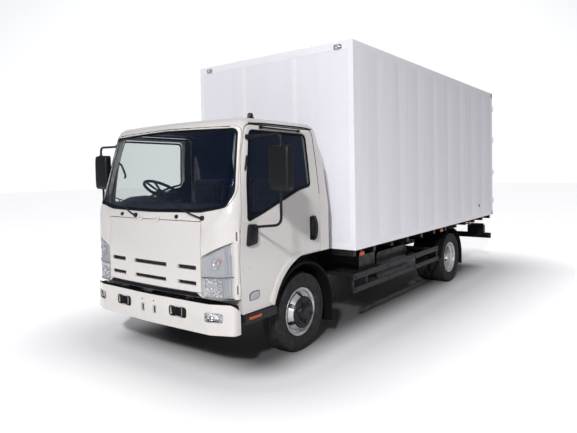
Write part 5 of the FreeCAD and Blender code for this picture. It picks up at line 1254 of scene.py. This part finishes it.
def foam_block(low, high, name, crown_axis, channels, rounding):
    """A cushion grown from a rounded block: inflated as cloth, kept in its room, then sewn across."""
    bm = bmesh.new()
    inset, most_swell, seam_depth = 0.010, 0.009, 0.011
    solid_box(bm, low + Vector((inset,) * 3), high - Vector((inset,) * 3), rounding, 4)
    bmesh.ops.recalc_face_normals(bm, faces=bm.faces)
    mesh = bpy.data.meshes.new(name)
    bm.to_mesh(mesh)
    bm.free()
    piece = bpy.data.objects.new(name, mesh)
    bpy.context.scene.collection.objects.link(piece)
    voxels = piece.modifiers.new("voxels", "REMESH")
    voxels.mode, voxels.voxel_size = "VOXEL", 0.008
    settle(piece)
    rest = [v.co.copy() for v in piece.data.vertices]
    cloth = piece.modifiers.new("cloth", "CLOTH")
    cloth.settings.use_pressure = True
    cloth.settings.uniform_pressure_force = 4
    cloth.settings.effector_weights.gravity = 0
    cloth.settings.quality = 4
    cloth.point_cache.frame_start, cloth.point_cache.frame_end = 1, 20
    for step in range(1, 21):
        bpy.context.scene.frame_set(step)
    settle(piece)
    bpy.context.scene.frame_set(1)
    for v, start in zip(piece.data.vertices, rest):
        move = v.co - start
        if move.length > most_swell:
            v.co = start + move.normalized() * most_swell
    middle, size = (low + high) / 2, high - low
    long_axis, outward = (1, 1) if crown_axis == 2 else (2, -1)
    for v in piece.data.vertices:
        share = (v.co[long_axis] - low[long_axis]) / size[long_axis]
        level = (v.co[crown_axis] - low[crown_axis]) / size[crown_axis]
        if (level if outward > 0 else 1 - level) > 0.5:
            groove = sum(math.exp(-(((share - c) * size[long_axis]) / 0.009) ** 2) for c in channels)
            groove += 0.8 * math.exp(-((abs(v.co.x - middle.x) - size.x * 0.31) / 0.008) ** 2) * (0.12 < share < 0.88)
            v.co[crown_axis] -= outward * seam_depth * min(groove, 1.0)
        v.co = [min(max(v.co[k], low[k] + 0.001), high[k] - 0.001) for k in range(3)]
    smooth = piece.modifiers.new("smooth", "CORRECTIVE_SMOOTH")
    smooth.iterations, smooth.use_only_smooth = 3, True
    finer = piece.modifiers.new("finer", "SUBSURF")
    finer.levels = finer.render_levels = 1
    settle(piece)
    done = piece.data
    for v in done.vertices:
        v.co = [min(max(v.co[k], low[k] + 0.0005), high[k] - 0.0005) for k in range(3)]
    done.materials.clear()
    done.materials.append(woven_cloth)
    for face in done.polygons:
        face.use_smooth = True
        face.material_index = 0
    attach(piece, "cab")
    return piece


for name, x_from, x_to in (("driver", -720, -200), ("middle", -160, 160), ("outer", 200, 720)):
    foam_block(
        at(x_from, -420, 1160), at(x_to, 70, 1308), f"seat_base_{name}", 2, (0.22, 0.44, 0.66, 0.86), 0.045)
    foam_block(
        at(x_from, 75, 1170), at(x_to, 241, 1720), f"seat_back_{name}", 1, (0.16, 0.34, 0.52, 0.7, 0.86), 0.055)
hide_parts("seat_cushions")

# ---------------------------------------------------------------- dashboard and inner trim
# A soft dark moulding with a hooded dial panel before the driver, round air vents, a radio
# plate and a tray. The shell is lined with dark board, on its back wall and under its roof.

# slush-moulded PVC skin: dark slate with a leather-like grain, dull, with a faint sheen; its tone is partly its own
# and partly painted light, lightened and blued for the sky light that falls into the cab
slate_skin, tree, shader, place = finish("slate_skin", "#1C212B", 0.6, Specular_IOR_Level=0.35)
cells = add(tree, "ShaderNodeTexVoronoi", {"Vector": place, "Scale": 260.0}, feature="DISTANCE_TO_EDGE")
add(tree, "ShaderNodeBump", {"Height": cells, "Strength": 0.35, "Distance": 0.0015}, into=shader.inputs["Normal"])
fade = add(tree, "ShaderNodeTexNoise", {"Vector": place, "Scale": 5.0, "Detail": 3.0})
add(tree, "ShaderNodeMix", {0: fade, 6: "#1F2B3C", 7: "#36465A"}, into=shader.inputs["Base Color"], data_type="RGBA")
# pressed fibre board with a thin cloth face: dark, quite matt, with short fibres; its navy is partly its own and
# partly painted light, made bluer and lighter for the sky light that falls into the cab
lining_board, tree, shader, place = finish("lining_board", "#191E29", 0.85, Specular_IOR_Level=0.2)
fibres = add(tree, "ShaderNodeTexNoise", {"Vector": place, "Scale": 190.0, "Detail": 6.0})
add(tree, "ShaderNodeMix", {0: fibres, 6: "#1A2744", 7: "#2C3F6A"},
    into=shader.inputs["Base Color"], data_type="RGBA")
add(tree, "ShaderNodeBump", {"Height": fibres, "Strength": 0.3, "Distance": 0.001}, into=shader.inputs["Normal"])

paint(slate_skin, "dashboard", "steering_column", "steering_wheel")
pressed_copy("dashboard", "dashboard_skin", slate_skin, "cab", 0.012)
pressed_copy("steering_wheel", "steering_wheel_rim", slate_skin, "steering_wheel")

bm, faces = bmesh.new(), bmesh.new()
hood = [(-690, 1500), (-690, 1512), (-640, 1545), (-430, 1560), (-220, 1545), (-170, 1512), (-170, 1500)]
rows = []
for y, lift in ((-900, 0.0), (-860, 0.75), (-800, 1.0), (-750, 0.92)):
    rows.append([bm.verts.new(at(x, y, 1496 + (z - 1496) * lift)) for x, z in hood])
rows.append([bm.verts.new(at(x * 0.985 - 6, -756, 1496 + (z - 1504) * 0.8)) for x, z in hood])
for a, b in zip(rows, rows[1:]):
    for k in range(len(a) - 1):
        bm.faces.new((a[k], a[k + 1], b[k + 1], b[k]))
bm.faces.new(rows[0])
bm.faces.new(list(reversed(rows[-1])))
floor_ring = [row[0] for row in rows] + [row[-1] for row in reversed(rows)]
bm.faces.new(list(reversed(floor_ring)))
for x_from, x_to in ((-700, -160), (-120, 180), (230, 700)):
    solid_box(bm, at(x_from, -738, 1330), at(x_to, -722, 1470), 0.010, 3)
for x in (-640, -90, 150, 640):
    lathe(bm, [(0, 0), (46, 0), (46, 8), (42, 12), (36, 12), (34, 5), (0, 5)], at(x, -724, 1420), (0, 1, 0), 28)
    for k in range(-2, 3):
        solid_box(bm, at(x - 30, -720, 1419 + k * 13), at(x + 30, -716, 1423 + k * 13), 0.0008, 1)
lathe(bm, [(0, 0), (26, 0), (26, 120), (14, 160), (14, 178), (0, 180)], at(20, -700, 1090), (0, 0.25, 1), 20)
lay(bm, "dash_hood_and_vents", slate_skin, "cab")
for x in (-520, -430, -340):
    lathe(faces, [(0, 0), (38, 0), (38, 4), (0, 4)], at(x, -722, 1405), (0, 1, 0), 28)
solid_box(faces, at(-70, -722, 1352), at(130, -718, 1392), 0.003, 2)
lay(faces, "dial_faces_and_radio", black_band, "cab")

bm = bmesh.new()
inner_skin = skin_of("cab_back_wall", "cab_roof", "cab_front")


def board_inside(bm, spots, toward):
    """Adds a thin board over a grid of points inside the cab, laid on the first surface met."""
    toward = Vector(toward)
    low, top = (
        [[bm.verts.new((inner_skin.ray_cast(spot, toward)[0] or spot) - toward * height) for spot in row]
         for row in spots] for height in (0.002, 0.007)
    )
    two_sided(bm, top, low)


shell_panel.data.materials.append(lining_board)
cab_middle = at(0, -300, 1700)
for face in shell_panel.data.polygons:
    if face.center.z > 1.42 and face.normal.dot(face.center - cab_middle) < -0.1:
        face.material_index = 2
board_inside(bm, [[at(x, 120, z) for z in range(1180, 2161, 70)] for x in range(-860, 861, 86)], (0, 1, 0))
board_inside(bm, [[at(x, y, 2000) for y in range(-560, 241, 80)] for x in range(-720, 721, 80)], (0, 0, 1))
lay(bm, "inner_lining", lining_board, "cab")
for side, sign in sides:
    bm = bmesh.new()
    grip = [
        at(sign * x, y, z)
        for x, y, z in ((905, -700, 1740), (862, -716, 1760), (858, -765, 1880), (893, -800, 1913))
    ]
    sweep(bm, bent(grip, 0.03), 0.011, 10)
    lay(bm, f"pillar_grip_{side}", grained_plastic, "cab")
    bm = bmesh.new()
    solid_box(bm, (sign * 0.932, at(0, -640, 0).y, 1.02), (sign * 0.918, at(0, 180, 0).y, 1.36), 0.006, 2)
    solid_box(bm, (sign * 0.918, at(0, -420, 0).y, 1.28), (sign * 0.880, at(0, 60, 0).y, 1.32), 0.010, 3)
    leaf_skin = skin_of(f"door_{side}")
    band_on(
        bm,
        rounded([
            (-848, 1060, 30), (-846, 1706, 900), (-752, 2168, 50), (214, 2168, 50), (262, 1560, 200), (262, 1060, 30),
            (-300, 1060, 30)]),
        rounded([
            (-806, 1352, 36), (-783, 1706, 900), (-705, 2137, 56), (117, 2137, 56), (137, 1634, 41), (-59, 1601, 300),
            (-579, 1424, 200)]),
        lambda p, lift: drop_on(leaf_skin, at(0, p.x, p.y), (sign, 0, 0), lift), 0.0025, 0.004,
    )
    lay(bm, f"door_card_{side}", slate_skin, f"door_{side}")

# ---------------------------------------------------------------- tail
# Rubber seals frame the rear doors. Each tail lamp has a moulded black body with a red, a dark
# and a clear window, and sits on the bar below the floor.
bm, reds, whites = bmesh.new(), bmesh.new(), bmesh.new()
for sign in (1, -1):
    for window, x_from, x_to in ((reds, 742, 842), (bm, 850, 930), (whites, 938, 1018)):
        solid_box(window, at(sign * x_from, 5752, 588), at(sign * x_to, 5759, 702), 0.004, 2)
    for z in (0.996, 3.072):
        solid_box(bm, (sign * 1.104, box_rear - 0.002, z - 0.007),
                  (sign * 0.006, box_rear + 0.006, z + 0.007), 0.002, 2)
    for x in (sign * 1.104, sign * 0.006):
        solid_box(bm, (x - 0.006, box_rear - 0.002, 1.0), (x + 0.006, box_rear + 0.005, 3.07), 0.002, 2)
lay(bm, "rear_seals", black_band, "chassis")
lay(reds, "tail_windows_red", red_acrylic, "chassis")
lay(whites, "tail_windows_clear", clear_cover, "chassis")
